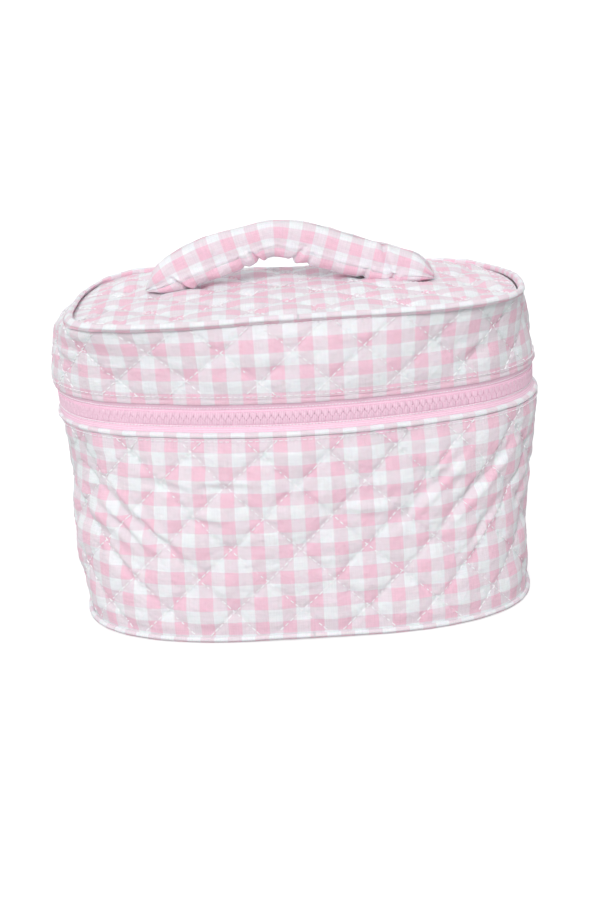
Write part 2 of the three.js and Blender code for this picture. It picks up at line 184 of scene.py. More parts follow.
# %% [markdown]
# ## Smooth noise for wrinkles
# Real cloth is never quite even. A table of fixed random numbers, blended smoothly between its
# points, gives soft dents of any size, and the same ones on every run.

# %% Smooth noise
NOISE_CELLS = 64
NOISE = np.random.default_rng(7).uniform(-1, 1, (NOISE_CELLS, NOISE_CELLS))


def noise(u, v, size, shift=0):
    """Soft dents between -1 and 1, about that size across. Each shift gives other ones."""
    x, y = np.asarray(u) / size + 17.3 * shift, np.asarray(v) / size + 5.1 * shift
    i, j = np.floor(x).astype(int), np.floor(y).astype(int)
    fx, fy = x - i, y - j
    fx, fy = fx * fx * (3 - 2 * fx), fy * fy * (3 - 2 * fy)
    at = lambda a, b: NOISE[np.mod(i + a, NOISE_CELLS), np.mod(j + b, NOISE_CELLS)]
    low = at(0, 0) * (1 - fx) + at(1, 0) * fx
    high = at(0, 1) * (1 - fx) + at(1, 1) * fx
    return low * (1 - fy) + high * fy


def ease(x):
    """A soft step from 0 to 1."""
    x = np.clip(x, 0, 1)
    return x * x * (3 - 2 * x)


print("noise table", NOISE.shape, "ease(0.25) is", ease(0.25))

# %% [markdown]
# ## Quilting
# Two sets of slanting stitch lines hold the face cloth down to its wadding, and each diamond
# between them swells like a small pillow. The diamonds are about five checks wide and four to
# five high.
# Close to a stitch line the cloth puckers, and at a sewn edge the pillows are pressed flat.
# The pillows are made as real relief in the mesh, because their shadows carry the look.

# %% Quilted relief
WANDER, WANDER_SIZE = 1.4 * MM, 38 * MM  # how far a stitched line strays, and over what length
PRESSED = 8 * MM  # how far from a sewn edge the pillows stay pressed
STITCH_SINK = 0.45 * MM
PUCKER = 0.5 * MM
WRINKLE = 0.55 * MM
DENT, SMALL_DENT = 0.4 * MM, 0.3 * MM
DRAG = 0.3 * MM


class Quilting:
    """Diamonds of one panel: width, height, place of one crossing and depth, in mm."""

    def __init__(self, wide, tall, u0, v0, depth):
        sizes = (wide, tall, u0, v0, depth)
        self.wide, self.tall, self.u0, self.v0, self.depth = (n * MM for n in sizes)

    def axes(self, u, v):
        """Two numbers that are whole on the two sets of stitch lines."""
        across = (u + WANDER * noise(u, v, WANDER_SIZE, 1) - self.u0) / self.wide
        up = (v + WANDER * noise(u, v, WANDER_SIZE, 2) - self.v0) / self.tall
        return across + up, across - up

    def relief(self, u, v, edge):
        """How far the cloth stands from the smooth surface, near 0 on top of a pillow.

        edge is the distance to the nearest sewn edge."""
        a, b = self.axes(u, v)
        sin_a, sin_b = np.abs(np.sin(math.pi * a)), np.abs(np.sin(math.pi * b))
        # The filling sinks, so a pillow is fuller and steeper at its lower side.
        upper = (a - np.floor(a)) - (b - np.floor(b))
        pillow = (sin_a * sin_b) ** (0.6 + 0.32 * upper) * (1 - 0.2 * upper)
        free = ease(edge / PRESSED)
        line = np.minimum(sin_a, sin_b)
        seam = np.exp(-((line / 0.08) ** 2)) * -STITCH_SINK
        near = np.exp(-((line / 0.3) ** 2))
        pucker = noise(u + v, u - v, 2.6 * MM, 3) * near * PUCKER
        # Short wrinkles where the filling sinks on to the line below.
        wrinkle = 1 - np.abs(noise(u * 0.45, v, 5.2 * MM, 8))
        wrinkle = -(wrinkle**6) * ease(0.5 - upper) * WRINKLE
        dents = noise(u, v, 17 * MM, 4) * DENT + noise(u, v, 6.5 * MM, 5) * SMALL_DENT
        drag = noise(u, v * 2.6, 9 * MM, 7) * DRAG
        swell = 1 + 0.3 * noise(u, v, 27 * MM, 6)
        loose = pucker + dents + drag + seam + wrinkle
        return -self.depth * (1 - pillow * free * swell) + loose * (0.35 + 0.65 * free)


BODY_QUILT = Quilting(31.2, 30.2, -5, 46, 1.7)
LID_QUILT = Quilting(32, 27, -4, 138, 1.25)
TOP_QUILT = Quilting(32, 28, -4, -34, 1.9)
print("a diamond of the body", BODY_QUILT.wide / CHECK, "by", BODY_QUILT.tall / CHECK, "checks")

# %% [markdown]
# ## Drag lines
# A soft case is pulled by its seams, so long shallow folds run into the corners and across the
# front below the zip. Each fold is a short valley with a soft ridge beside it.

# %% Folds
def folds(u, v, lines):
    """Adds up the folds: each is (u, v) of its start and end, half width and depth, in mm."""
    fold_wander, fold_wander_size = 1.2 * MM, 14 * MM
    total = np.zeros(np.broadcast(u, v).shape)
    for u0, v0, u1, v1, half, depth in lines:
        u0, v0, u1, v1, half, depth = (n * MM for n in (u0, v0, u1, v1, half, depth))
        du, dv = u1 - u0, v1 - v0
        long = math.hypot(du, dv)
        along = ((u - u0) * du + (v - v0) * dv) / long
        across = ((v - v0) * du - (u - u0) * dv) / long
        across = across + fold_wander * noise(along, along, fold_wander_size, 9)
        fade = ease(1 - np.abs(along / long - 0.5) * 2)
        x = across / half
        total += depth * fade * (0.6 * np.exp(-((x - 1.5) ** 2)) - np.exp(-(x**2)))
    return total


BODY_FOLDS = [
    (-118, 90, -44, 30, 2.2, 2.7),
    (-110, 72, -64, 36, 2.0, 2.0),
    (-102, 50, -72, 18, 2.2, 1.6),
    (-90, 82, -40, 70, 2.2, 1.4),
    (-64, 62, -30, 56, 2.2, 1.1),
    (86, 94, 28, 44, 2.2, 1.7),
    (114, 91, 52, 44, 2.4, 2.0),
    (102, 64, 66, 30, 2.4, 1.7),
    (-150, 80, -60, 30, 3.2, 1.3),
    (-168, 92, -120, 58, 3.0, 1.1),
    (-128, 60, -98, 50, 2.4, 0.9),
    (-62, 76, -16, 75, 2.2, 1.4),
    (-52, 46, 8, 50, 3.0, 0.8),
    (6, 62, 46, 58, 2.4, 1.2),
    (40, 84, 90, 62, 3.0, 1.0),
    (150, 84, 96, 40, 3.2, 1.2),
    (172, 60, 120, 20, 3.0, 1.0),
    (-10, 24, 50, 20, 3.4, 0.7),
]
LID_FOLDS = [
    (-176, 148, -120, 122, 3.0, 1.2),
    (-140, 140, -95, 124, 2.6, 0.9),
    (-40, 128, 10, 132, 2.8, 0.7),
    (60, 122, 110, 138, 2.8, 0.9),
    (172, 120, 128, 146, 3.0, 1.1),
]
print(len(BODY_FOLDS), "folds in the body,", len(LID_FOLDS), "in the lid")

# %% [markdown]
# ## The quilted walls
# A wall's cloth point is `u`, the distance round from the middle of the front, and its height.
# The same function places the mesh and the stitches, so the thread lies in its own valleys.

# %% Quilted wall surface
BODY_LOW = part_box("body_wall")[0].z - 1.9 * MM  # tucked behind the piping
BODY_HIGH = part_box("body_wall")[1].z
LID_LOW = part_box("lid_band")[0].z
LID_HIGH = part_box("lid_band")[1].z + 1.5 * MM  # tucked behind the top piping


def body_wall(u, z, lift=0.0):
    edge = np.minimum(z - BODY_LOW, BODY_HIGH - z)
    belly = 0.8 * MM * np.sin(math.pi * np.clip((z - BODY_LOW) / (BODY_HIGH - BODY_LOW), 0, 1))
    out = BODY_QUILT.relief(u, z, edge) + folds(u, z, BODY_FOLDS) + belly
    out = out + 0.9 * MM * noise(u, z, 55 * MM, 11)
    return wall(u / GIRTH, z, out + lift)


def lid_wall(u, z, lift=0.0):
    edge = np.minimum(z - LID_LOW, LID_HIGH - z)
    belly = 0.3 * MM * np.sin(math.pi * np.clip((z - LID_LOW) / (LID_HIGH - LID_LOW), 0, 1))
    out = LID_QUILT.relief(u, z, edge) + folds(u, z, LID_FOLDS) + belly
    out = out + 0.7 * MM * noise(u, z, 50 * MM, 12)
    return wall(u / GIRTH, z, out + lift)


print("body wall from", round(BODY_LOW, 4), "to", round(BODY_HIGH, 4))
print("lid wall from", round(LID_LOW, 4), "to", round(LID_HIGH, 4))

# %% [markdown]
# ## How the bag has settled
# A soft case that stands on a shelf is never symmetrical: its ends lean in or out, and its rear
# seam hangs. A lattice modifier could bend the pieces, but one function that moves the points
# of every piece alike keeps seams together and leaves nothing to apply later.

# %% Settling
# How far each end leans out of the model's outline: (height, lean), in mm.
LEFT_END = [
    (0, -1), (24, -2), (40, -2), (66, 0), (78, 1), (87, 1), (95, -1.6), (101, -3.8),
    (109, -4.4), (117, -4.8), (124, -4), (138, -3.2), (144, -4.4), (148, -4.6), (152, 0),
]
RIGHT_END = [
    (0, 0), (11, -1.2), (26, -3), (42, -3.5), (60, -3), (80, -1), (92, 0.6), (99, 1.4),
    (101.5, 0.6), (113.3, 0.6), (115, 0.2), (119, -0.9), (125, -2.6), (131, -3.3), (138, -3),
    (143, -2), (152, -0.6),
]
# How far the rear of the top seam hangs: (x, drop), in mm.
REAR_HANG = [
    (-115, -6), (-106, -5), (-96, -1), (-80, 1.2), (-60, 0.4), (-40, -2.2), (0, -3.4),
    (40, -2.8), (70, -2.6), (90, -3), (104, -5.4), (115, -7),
]
FRONT_TILT = 1.6  # how much the right end of the lid's front stands above its middle, in mm
REAR_START, REAR_LENGTH = -20 * MM, 85 * MM  # where the hang begins, and how far it builds up
LEAN_START, LEAN_REACH = 0.5, 0.48  # shares of the half width


def settled(points):
    """Moves points of the smooth model as the soft bag has settled."""
    points = np.array(points, float).reshape(-1, 3)
    x, y, z = points.T.copy()
    left, right = (np.array(table) * MM for table in (LEFT_END, RIGHT_END))
    lean = np.where(x < 0, np.interp(z, *left.T), np.interp(z, *right.T))
    points[:, 0] += lean * ease((np.abs(x) / HALF_WIDTH - LEAN_START) / LEAN_REACH)
    up = ease((z - ZIP_HIGH - 3 * MM) / (TOP_SEAM - ZIP_HIGH - 3 * MM))
    rear = ease((y - REAR_START) / REAR_LENGTH)
    front_tilt = FRONT_TILT * x / HALF_WIDTH * MM
    hang = np.interp(x, *(np.array(REAR_HANG) * MM).T)
    points[:, 2] += up * (front_tilt * (1 - rear) + hang * rear)
    return points


moved = settled(wall([0.25, 0.5, 0.75], TOP_SEAM)) - wall([0.25, 0.5, 0.75], TOP_SEAM)
print("top seam moves at the right end, back and left end, in mm:", (moved / MM).round(1).tolist())

# %% [markdown]
# ## Making a piece
# Every piece is made as a mesh of points and faces. Each point also keeps its place in the flat
# cloth, in metres, as an attribute named `cloth`, and the woven pattern reads that, so checks
# follow the cloth and not the room. The piece then rides on a body of the moving model.

# %% Piece maker
def piece(name, verts, faces, cloth, material, body, stands_for=(), sharp=50):
    mesh = bpy.data.meshes.new(name)
    verts = settled(verts) if body else np.asarray(verts, float).reshape(-1, 3)
    mesh.from_pydata(verts.tolist(), [], faces)
    mesh.validate()
    layer = mesh.attributes.new("cloth", "FLOAT_VECTOR", "POINT")
    flat = np.zeros((len(mesh.vertices), 3), np.float32)
    flat[:, :2] = np.asarray(cloth, np.float32).reshape(-1, 2)
    layer.data.foreach_set("vector", flat.ravel())
    mesh.materials.append(material)
    mesh.shade_smooth()
    mesh.set_sharp_from_angle(angle=math.radians(sharp))
    mesh.update()
    made = bpy.data.objects.new(name, mesh)
    bpy.context.scene.collection.objects.link(made)
    if body:
        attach(made, body)
    if stands_for:
        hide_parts(*stands_for)
    print(f"{name}: {len(mesh.vertices)} points, {len(mesh.polygons)} faces")
    return made


# %% [markdown]
# ## Faces of panels and rings
# A panel is a closed solid: a fine grid outside, a plain back inside, and turned edges that
# join them. A seam or a hem is a ring: one closed profile carried along a line. Both are grids
# whose points are numbered row by row, so their faces come from counting.

# %% Mesh helpers
def grid_faces(rows, columns, joined=False, first=0, flip=False):
    """Four-sided faces of a grid whose points are numbered row by row."""
    i = np.arange(rows if joined else rows - 1)[:, None]
    j = np.arange(columns - 1)[None, :]
    a, b = i * columns + j, ((i + 1) % rows) * columns + j
    quads = np.stack([a, b, b + 1, a + 1], -1).reshape(-1, 4) + first
    return (quads[:, ::-1] if flip else quads).tolist()


def closed_panel(front, back):
    """Points and faces of a solid from a fine front grid and a back with the same columns
    of fewer points. Both are (across, up, 3) arrays."""
    n, m, k = front.shape[0], front.shape[1], back.shape[1]
    verts = np.concatenate([front.reshape(-1, 3), back.reshape(-1, 3)])
    faces = grid_faces(n, m)
    faces += grid_faces(n, k, first=n * m, flip=True)
    i = np.arange(n - 1)
    low_f, low_b = i * m, n * m + i * k
    faces += np.stack([low_f, low_b, low_b + k, low_f + m], 1).tolist()
    top_f, top_b = low_f + m - 1, low_b + k - 1
    faces += np.stack([top_f, top_f + m, top_b + k, top_b], 1).tolist()
    for c, flip in ((0, False), (n - 1, True)):
        rim = list(range(c * m, c * m + m))
        rim += list(range(n * m + c * k + k - 1, n * m + c * k - 1, -1))
        faces.append(rim[::-1] if flip else rim)
    return verts, faces


def ring_solid(profile_points, joined):
    """A closed solid from (stations, profile, 3) points; the profile closes on itself."""
    n, m = profile_points.shape[:2]
    i = np.arange(n if joined else n - 1)[:, None]
    j = np.arange(m)[None, :]
    a, b = i * m + j, ((i + 1) % n) * m + j
    a2, b2 = i * m + (j + 1) % m, ((i + 1) % n) * m + (j + 1) % m
    faces = np.stack([a, b, b2, a2], -1).reshape(-1, 4).tolist()
    if not joined:
        faces.append(list(range(m)))
        faces.append(list(range((n - 1) * m, n * m))[::-1])
    return profile_points.reshape(-1, 3), faces


print("faces of a grid of 2 by 3 points", grid_faces(2, 3))

# %% [markdown]
# ## Colour of the cloth
# Gingham is woven from bands of dyed and plain threads in both directions. One node group
# makes that pattern, with the thread and its relief, and every gingham piece uses it with its
# own values.

# %% Node group tools
def srgb(red, green, blue):
    """A colour of 0 to 255 values as the linear values that a shader wants."""
    values = [c / 255 for c in (red, green, blue)]
    return [c / 12.92 if c < 0.04045 else ((c + 0.055) / 1.055) ** 2.4 for c in values] + [1]


class Tree:
    """A small helper that adds nodes to a tree and links them by name."""

    def __init__(self, tree):
        self.tree = tree

    def add(self, kind, values=None, **settings):
        node = self.tree.nodes.new(kind)
        for key, value in settings.items():
            setattr(node, key, value)
        for key, value in (values or {}).items():
            socket = node.inputs[key]
            if isinstance(value, bpy.types.NodeSocket):
                self.tree.links.new(value, socket)
            else:
                socket.default_value = value
        return node

    def maths(self, operation, *values):
        node = self.add("ShaderNodeMath", dict(enumerate(values)), operation=operation)
        return node.outputs[0]

    def blend(self, factor, low, high):
        node = self.add("ShaderNodeMix", data_type="RGBA")
        for at, value in ((0, factor), (6, low), (7, high)):
            if isinstance(value, bpy.types.NodeSocket):
                self.tree.links.new(value, node.inputs[at])
            else:
                node.inputs[at].default_value = value
        return node.outputs[2]


def new_group(name, inputs, outputs):
    """A shader node group; inputs are (name, kind, value) and outputs (name, kind)."""
    group = bpy.data.node_groups.new(name, "ShaderNodeTree")
    for label, kind, value in inputs:
        socket = group.interface.new_socket(label, in_out="INPUT", socket_type=kind)
        if value is not None:
            socket.default_value = value
    for label, kind in outputs:
        group.interface.new_socket(label, in_out="OUTPUT", socket_type=kind)
    tree = Tree(group)
    return group, tree, tree.add("NodeGroupInput").outputs, tree.add("NodeGroupOutput").inputs


FLOAT, COLOUR, VECTOR = "NodeSocketFloat", "NodeSocketColor", "NodeSocketVector"
print("mid grey in linear values", round(srgb(128, 128, 128)[0], 3))

# %% [markdown]
# ## The weave
# Plain weave passes each thread over one and under one. Two sine waves, one for each set of
# threads, give the little hills, and long thin noise makes some threads thicker than others.

# %% Weave group
def make_weave_group():
    group, t, given, out = new_group(
        "Plain weave",
        [("Cloth", VECTOR, None), ("Thread", FLOAT, 0.4 * MM), ("Slub", FLOAT, 0.5)],
        [("Height", FLOAT), ("Slub Along", FLOAT), ("Slub Across", FLOAT)],
    )
    parts = t.add("ShaderNodeSeparateXYZ", {0: given["Cloth"]}).outputs
    waves = []
    for axis in (0, 1):
        turns = t.maths("DIVIDE", parts[axis], given["Thread"])
        waves.append(t.maths("SINE", t.maths("MULTIPLY", turns, math.pi)))
    over = t.maths("MULTIPLY", waves[0], waves[1])
    slubs = []
    for stretch in ((2600, 90, 1), (90, 2600, 1)):
        scaled = t.add(
            "ShaderNodeVectorMath", {0: given["Cloth"], 1: stretch}, operation="MULTIPLY"
        )
        grain = t.add(
            "ShaderNodeTexNoise",
            {"Vector": scaled.outputs[0], "Scale": 1.0, "Detail": 2.0, "Roughness": 0.6},
        )
        slubs.append(t.maths("SUBTRACT", grain.outputs["Fac"], 0.5))
    both = t.maths("MULTIPLY", t.maths("ADD", slubs[0], slubs[1]), given["Slub"])
    t.tree.links.new(t.maths("ADD", over, both), out["Height"])
    t.tree.links.new(slubs[0], out["Slub Along"])
    t.tree.links.new(slubs[1], out["Slub Across"])
    return group


WEAVE = make_weave_group()
print("weave group", len(WEAVE.nodes), "nodes")

# %% [markdown]
# ## The checks
# The group counts checks along each direction of the cloth. Every second band is dyed, and
# the edge of a band wavers by a thread or two, as the real one does.

# %% Gingham group
def make_gingham_group():
    group, t, given, out = new_group(
        "Gingham checks",
        [
            ("Cloth", VECTOR, None),
            ("Check", FLOAT, CHECK),
            ("White", COLOUR, (1, 1, 1, 1)),
            ("Half", COLOUR, (1, 1, 1, 1)),
            ("Deep", COLOUR, (1, 1, 1, 1)),
            ("Slub", FLOAT, 0.5),
        ],
        [("Color", COLOUR), ("Height", FLOAT)],
    )
    weave = t.add("ShaderNodeGroup", node_tree=WEAVE)
    t.tree.links.new(given["Cloth"], weave.inputs["Cloth"])
    t.tree.links.new(given["Slub"], weave.inputs["Slub"])
    parts = t.add("ShaderNodeSeparateXYZ", {0: given["Cloth"]}).outputs
    dyed = []
    for axis, slub in ((0, "Slub Along"), (1, "Slub Across")):
        waver = t.maths("MULTIPLY", weave.outputs[slub], 0.05)
        count = t.maths("ADD", t.maths("DIVIDE", parts[axis], given["Check"]), waver)
        band = t.maths("PINGPONG", t.maths("ADD", count, 0.5), 1.0)
        edge = t.add(
            "ShaderNodeMapRange", {0: band, 1: 0.46, 2: 0.54}, interpolation_type="SMOOTHSTEP"
        )
        dyed.append(edge.outputs[0])
    total = t.maths("ADD", dyed[0], dyed[1])
    low = t.blend(t.maths("MINIMUM", total, 1.0), given["White"], given["Half"])
    over = t.maths("MAXIMUM", t.maths("SUBTRACT", total, 1.0), 0.0)
    colour = t.blend(over, low, given["Deep"])
    uneven = t.maths("ADD", weave.outputs["Slub Along"], weave.outputs["Slub Across"])
    # The colour is darkened in the low points of the weave, which is painted shade, and uneven
    # threads vary its tone.
    fine = t.maths("MULTIPLY", weave.outputs["Height"], 0.05)
    weave_shade_and_tone = t.maths("ADD", t.maths("ADD", 1.0, fine), t.maths("MULTIPLY", uneven, 0.2))
    grey = t.add("ShaderNodeCombineXYZ", {0: weave_shade_and_tone, 1: weave_shade_and_tone, 2: weave_shade_and_tone}).outputs[0]
    mixed = t.add("ShaderNodeVectorMath", {0: colour, 1: grey}, operation="MULTIPLY")
    t.tree.links.new(mixed.outputs[0], out["Color"])
    t.tree.links.new(weave.outputs["Height"], out["Height"])
    return group


GINGHAM = make_gingham_group()
print("gingham group", len(GINGHAM.nodes), "nodes")

# %% [markdown]
# ## Cloth materials
# The gingham is washed cotton: matt, with a faint sheen at a low angle from the fine fibres.
# Light passes a little way into it and comes out again, which keeps the valleys of the quilting
# pink instead of grey, and subsurface scattering does that. Its colour comes from the group, its
# relief goes through a bump node, and the constants stay on the shader itself.

# %% Gingham materials
WHITE_CHECK = srgb(237, 238, 241)
HALF_CHECK = srgb(232, 219, 226)
DEEP_CHECK = srgb(238, 198, 213)
COTTON_ROUGHNESS = 0.82


def base_material(name, roughness, sheen=0.0):
    material = bpy.data.materials.new(name)
    material.use_nodes = True
    tree = Tree(material.node_tree)
    shader = material.node_tree.nodes["Principled BSDF"]
    shader.inputs["Roughness"].default_value = roughness
    shader.inputs["Sheen Weight"].default_value = sheen
    shader.inputs["Sheen Roughness"].default_value = 0.45
    return material, tree, shader


def bump(tree, shader, height, distance, strength=1.0):
    values = {"Height": height, "Distance": distance, "Strength": strength}
    node = tree.add("ShaderNodeBump", values)
    tree.tree.links.new(node.outputs[0], shader.inputs["Normal"])


def cloth_place(tree):
    """Where each point lies on its own flat piece of cloth, in metres."""
    return tree.add("ShaderNodeAttribute", attribute_name="cloth").outputs["Vector"]


def gingham_material(name, slub=0.5):
    material, tree, shader = base_material(name, COTTON_ROUGHNESS, sheen=0.12)
    shader.inputs["Subsurface Weight"].default_value = 0.3
    shader.inputs["Subsurface Radius"].default_value = (1, 0.55, 0.7)
    shader.inputs["Subsurface Scale"].default_value = 1.6 * MM
    cloth = tree.add("ShaderNodeGroup", node_tree=GINGHAM)
    tree.tree.links.new(cloth_place(tree), cloth.inputs["Cloth"])
    cloth.inputs["Check"].default_value = CHECK
    cloth.inputs["Slub"].default_value = slub
    cloth.inputs["White"].default_value = WHITE_CHECK
    cloth.inputs["Half"].default_value = HALF_CHECK
    cloth.inputs["Deep"].default_value = DEEP_CHECK
    tree.tree.links.new(cloth.outputs["Color"], shader.inputs["Base Color"])
    uneven = tree.maths("MULTIPLY", cloth.outputs["Height"], 0.05)
    rough = tree.maths("ADD", uneven, COTTON_ROUGHNESS)
    tree.tree.links.new(rough, shader.inputs["Roughness"])
    # Washed cotton stays finely crinkled: creases of 2 or 3 mm under the grain of the weave.
    place = {"Vector": cloth_place(tree), "Scale": 430.0, "Detail": 2.5, "Roughness": 0.55}
    crinkle = tree.add("ShaderNodeTexNoise", place).outputs["Fac"]
    grain = tree.maths("MULTIPLY", cloth.outputs["Height"], 0.09)
    bump(tree, shader, tree.maths("ADD", crinkle, grain), 0.75 * MM, 0.8)
    return material


QUILT_CLOTH = gingham_material("Quilted gingham")
HANDLE_CLOTH = gingham_material("Handle gingham", slub=0.6)
PIPING_CLOTH = gingham_material("Piping gingham", slub=0.7)
HEM_CLOTH = gingham_material("Hem gingham")
print("gingham in", [m.name for m in (QUILT_CLOTH, HANDLE_CLOTH, PIPING_CLOTH, HEM_CLOTH)])

# %% [markdown]
# ## Plain materials
# Thread, wadding, board and enamel have one colour each. A flat colour looks like plastic, so
# soft mottling of two near shades and a fine relief are added, at a size that suits each one.

# %% Plain materials
def mottled_material(name, dark, light, roughness, grain, sheen=0.0, depth=0.05 * MM):
    """A plain colour with soft mottling and a fine relief of that grain size."""
    material, tree, shader = base_material(name, roughness, sheen)
    place = tree.add("ShaderNodeTexCoord").outputs["Object"]
    fine = tree.add(
        "ShaderNodeTexNoise", {"Vector": place, "Scale": 1 / grain, "Detail": 4.0, "Roughness": 0.6}
    )
    soft = tree.add("ShaderNodeTexNoise", {"Vector": place, "Scale": 0.08 / grain, "Detail": 2.0})
    mix = tree.maths("MULTIPLY", tree.maths("ADD", fine.outputs["Fac"], soft.outputs["Fac"]), 0.5)
    tree.tree.links.new(tree.blend(mix, dark, light), shader.inputs["Base Color"])
    rough = tree.maths("ADD", tree.maths("MULTIPLY", fine.outputs["Fac"], 0.16), roughness - 0.08)
    tree.tree.links.new(rough, shader.inputs["Roughness"])
    bump(tree, shader, fine.outputs["Fac"], depth)
    return material


THREAD = mottled_material(
    "White thread", srgb(236, 232, 236), srgb(255, 254, 255), 0.5, 0.5 * MM, sheen=0.2
)
FILLING = mottled_material(
    "Wadding", srgb(232, 230, 228), srgb(252, 251, 250), 0.95, 2 * MM, sheen=0.3, depth=0.4 * MM
)
BOARD = mottled_material("Stiffener", srgb(196, 190, 184), srgb(214, 208, 202), 0.6, 1 * MM)
ENAMEL = mottled_material(
    "Pink enamel", srgb(232, 168, 195), srgb(240, 180, 205), 0.3, 4 * MM, depth=0.01 * MM
)
print("plain materials", [m.name for m in (THREAD, FILLING, BOARD, ENAMEL)])

# %% [markdown]
# ## Zip tape and lining
# Zip tape is knitted in close ribs along its length, and each moulded tooth has fine ribs
# across it. Both are one sine wave in the cloth's own measure with a knitted grain over it.
# The lining is a thin smooth weave in the palest pink.

# %% Tape and lining materials
def zip_material(name, dark, light, rib_pitch, across, depth):
    """Pink zip: ribs that run along the cloth, or across it, with a knitted grain."""
    material, tree, shader = base_material(name, 0.6, sheen=0.25)
    place = cloth_place(tree)
    parts = tree.add("ShaderNodeSeparateXYZ", {0: place}).outputs
    turns = tree.maths("DIVIDE", parts[0 if across else 1], rib_pitch)
    rib = tree.maths("SINE", tree.maths("MULTIPLY", turns, 2 * math.pi))
    noise_values = {"Vector": place, "Scale": 1100.0, "Detail": 3.0}
    grain = tree.add("ShaderNodeTexNoise", noise_values).outputs[0]
    height = tree.maths("ADD", tree.maths("MULTIPLY", rib, 0.35), grain)
    # The grooves between the ribs are painted darker, which is painted shade, and the knitted grain
    # varies the tone.
    tree.tree.links.new(tree.blend(height, dark, light), shader.inputs["Base Color"])
    rough = tree.maths("ADD", tree.maths("MULTIPLY", grain, 0.2), 0.5)
    tree.tree.links.new(rough, shader.inputs["Roughness"])
    bump(tree, shader, height, depth, 0.8)
    return material


def lining_material():
    material, tree, shader = base_material("Lining", 0.6, sheen=0.2)
    weave = tree.add("ShaderNodeGroup", node_tree=WEAVE)
    tree.tree.links.new(cloth_place(tree), weave.inputs["Cloth"])
    weave.inputs["Thread"].default_value = 0.3 * MM
    weave.inputs["Slub"].default_value = 0.4
    # The pink is darker in the low points of the weave, which is painted shade, and uneven threads
    # vary it as well.
    mix = tree.maths("ADD", tree.maths("MULTIPLY", weave.outputs["Height"], 0.3), 0.5)
    tree.tree.links.new(
        tree.blend(mix, srgb(244, 226, 234), srgb(252, 240, 245)), shader.inputs["Base Color"]
    )
    bump(tree, shader, weave.outputs["Height"], 0.04 * MM, 0.6)
    return material


TAPE_DARK, TAPE_LIGHT = srgb(233, 184, 207), srgb(250, 218, 233)
TAPE = zip_material("Zip tape", TAPE_DARK, TAPE_LIGHT, 0.9 * MM, False, 0.1 * MM)
TEETH = zip_material("Zip teeth", TAPE_DARK, TAPE_LIGHT, 0.81 * MM, True, 0.16 * MM)
LINING = lining_material()
print("zip and lining materials", [m.name for m in (TAPE, TEETH, LINING)])

# %% [markdown]
# ## Thread
# Each stitch is its own short piece of thread: it comes up through the cloth, lies on it for
# about two and a half millimetres and goes down again. A stitch is a thin tube of five rings,
# and all the stitches of a panel are joined into one piece.

# %% Stitches
STITCH_PITCH = 3.1 * MM
THREAD_RADIUS = 0.29 * MM
STITCH_LIFTS = np.array([-0.1, 0.34, 0.46, 0.34, -0.1]) * MM
STITCH_STEPS = np.array([-0.4, -0.24, 0.0, 0.24, 0.4])
STITCH_SWELL = np.array([0.5, 0.95, 1.0, 0.95, 0.5])


def rings_joined(count, rings, sides, flip=False):
    """Faces of many short closed tubes, whose points are numbered tube by tube."""
    block = rings * sides
    i, j = np.arange(rings - 1)[:, None], np.arange(sides)[None, :]
    a, b = i * sides + j, (i + 1) * sides + j
    a2, b2 = i * sides + (j + 1) % sides, (i + 1) * sides + (j + 1) % sides
    quads = np.stack([a, a2, b2, b], -1).reshape(-1, 4)
    start = np.arange(count)[:, None, None] * block
    faces = (quads[None] + start).reshape(-1, 4).tolist()
    caps = np.stack([np.arange(sides)[::-1], np.arange(sides) + block - sides])
    faces += (caps[None] + start).reshape(-1, sides).tolist()
    return [f[::-1] for f in faces] if flip else faces


def tubes(points, outward, radius, swell, sides=5):
    """Many short tubes at once. points is (tubes, rings, 3), outward the same or (tubes, 1, 3)."""
    n, rings, _ = points.shape
    way = np.gradient(points, axis=1)
    way /= np.linalg.norm(way, axis=-1, keepdims=True)
    side = np.cross(way, outward)
    side /= np.linalg.norm(side, axis=-1, keepdims=True)
    up = np.cross(side, way)
    turn = 2 * math.pi * np.arange(sides) / sides
    ring = up[:, :, None] * np.cos(turn)[:, None] + side[:, :, None] * np.sin(turn)[:, None]
    verts = points[:, :, None] + ring * (radius * swell)[None, :, None, None]
    return verts.reshape(-1, 3), rings_joined(n, rings, sides)


def stitches(name, centres, ways, surface, body, radius=THREAD_RADIUS):
    """Stitches on a surface(u, v, lift); centres and ways are (n, 2), a way as long as a pitch."""
    at = centres[:, None] + ways[:, None] * STITCH_STEPS[None, :, None]
    low = surface(at[..., 0], at[..., 1], 0 * at[..., 0])
    points = surface(at[..., 0], at[..., 1], STITCH_LIFTS + 0 * at[..., 0])
    outward = surface(at[..., 0], at[..., 1], 1 * MM + 0 * at[..., 0]) - low
    verts, faces = tubes(points, outward, radius, STITCH_SWELL)
    flat = np.zeros((len(verts), 2))
    return piece(name, verts, faces, flat, THREAD, body)


print("a stitch is", round(np.ptp(STITCH_STEPS) * STITCH_PITCH, 5), "m long")

# %% [markdown]
# ## Where the quilting stitches lie
# The quilter's foot runs along parallel slanting lines, first one way and then the other. The
# lines are walked one stitch at a time, strayed by the same noise as the pillows, and only the
# stitches that fall on the panel are kept.

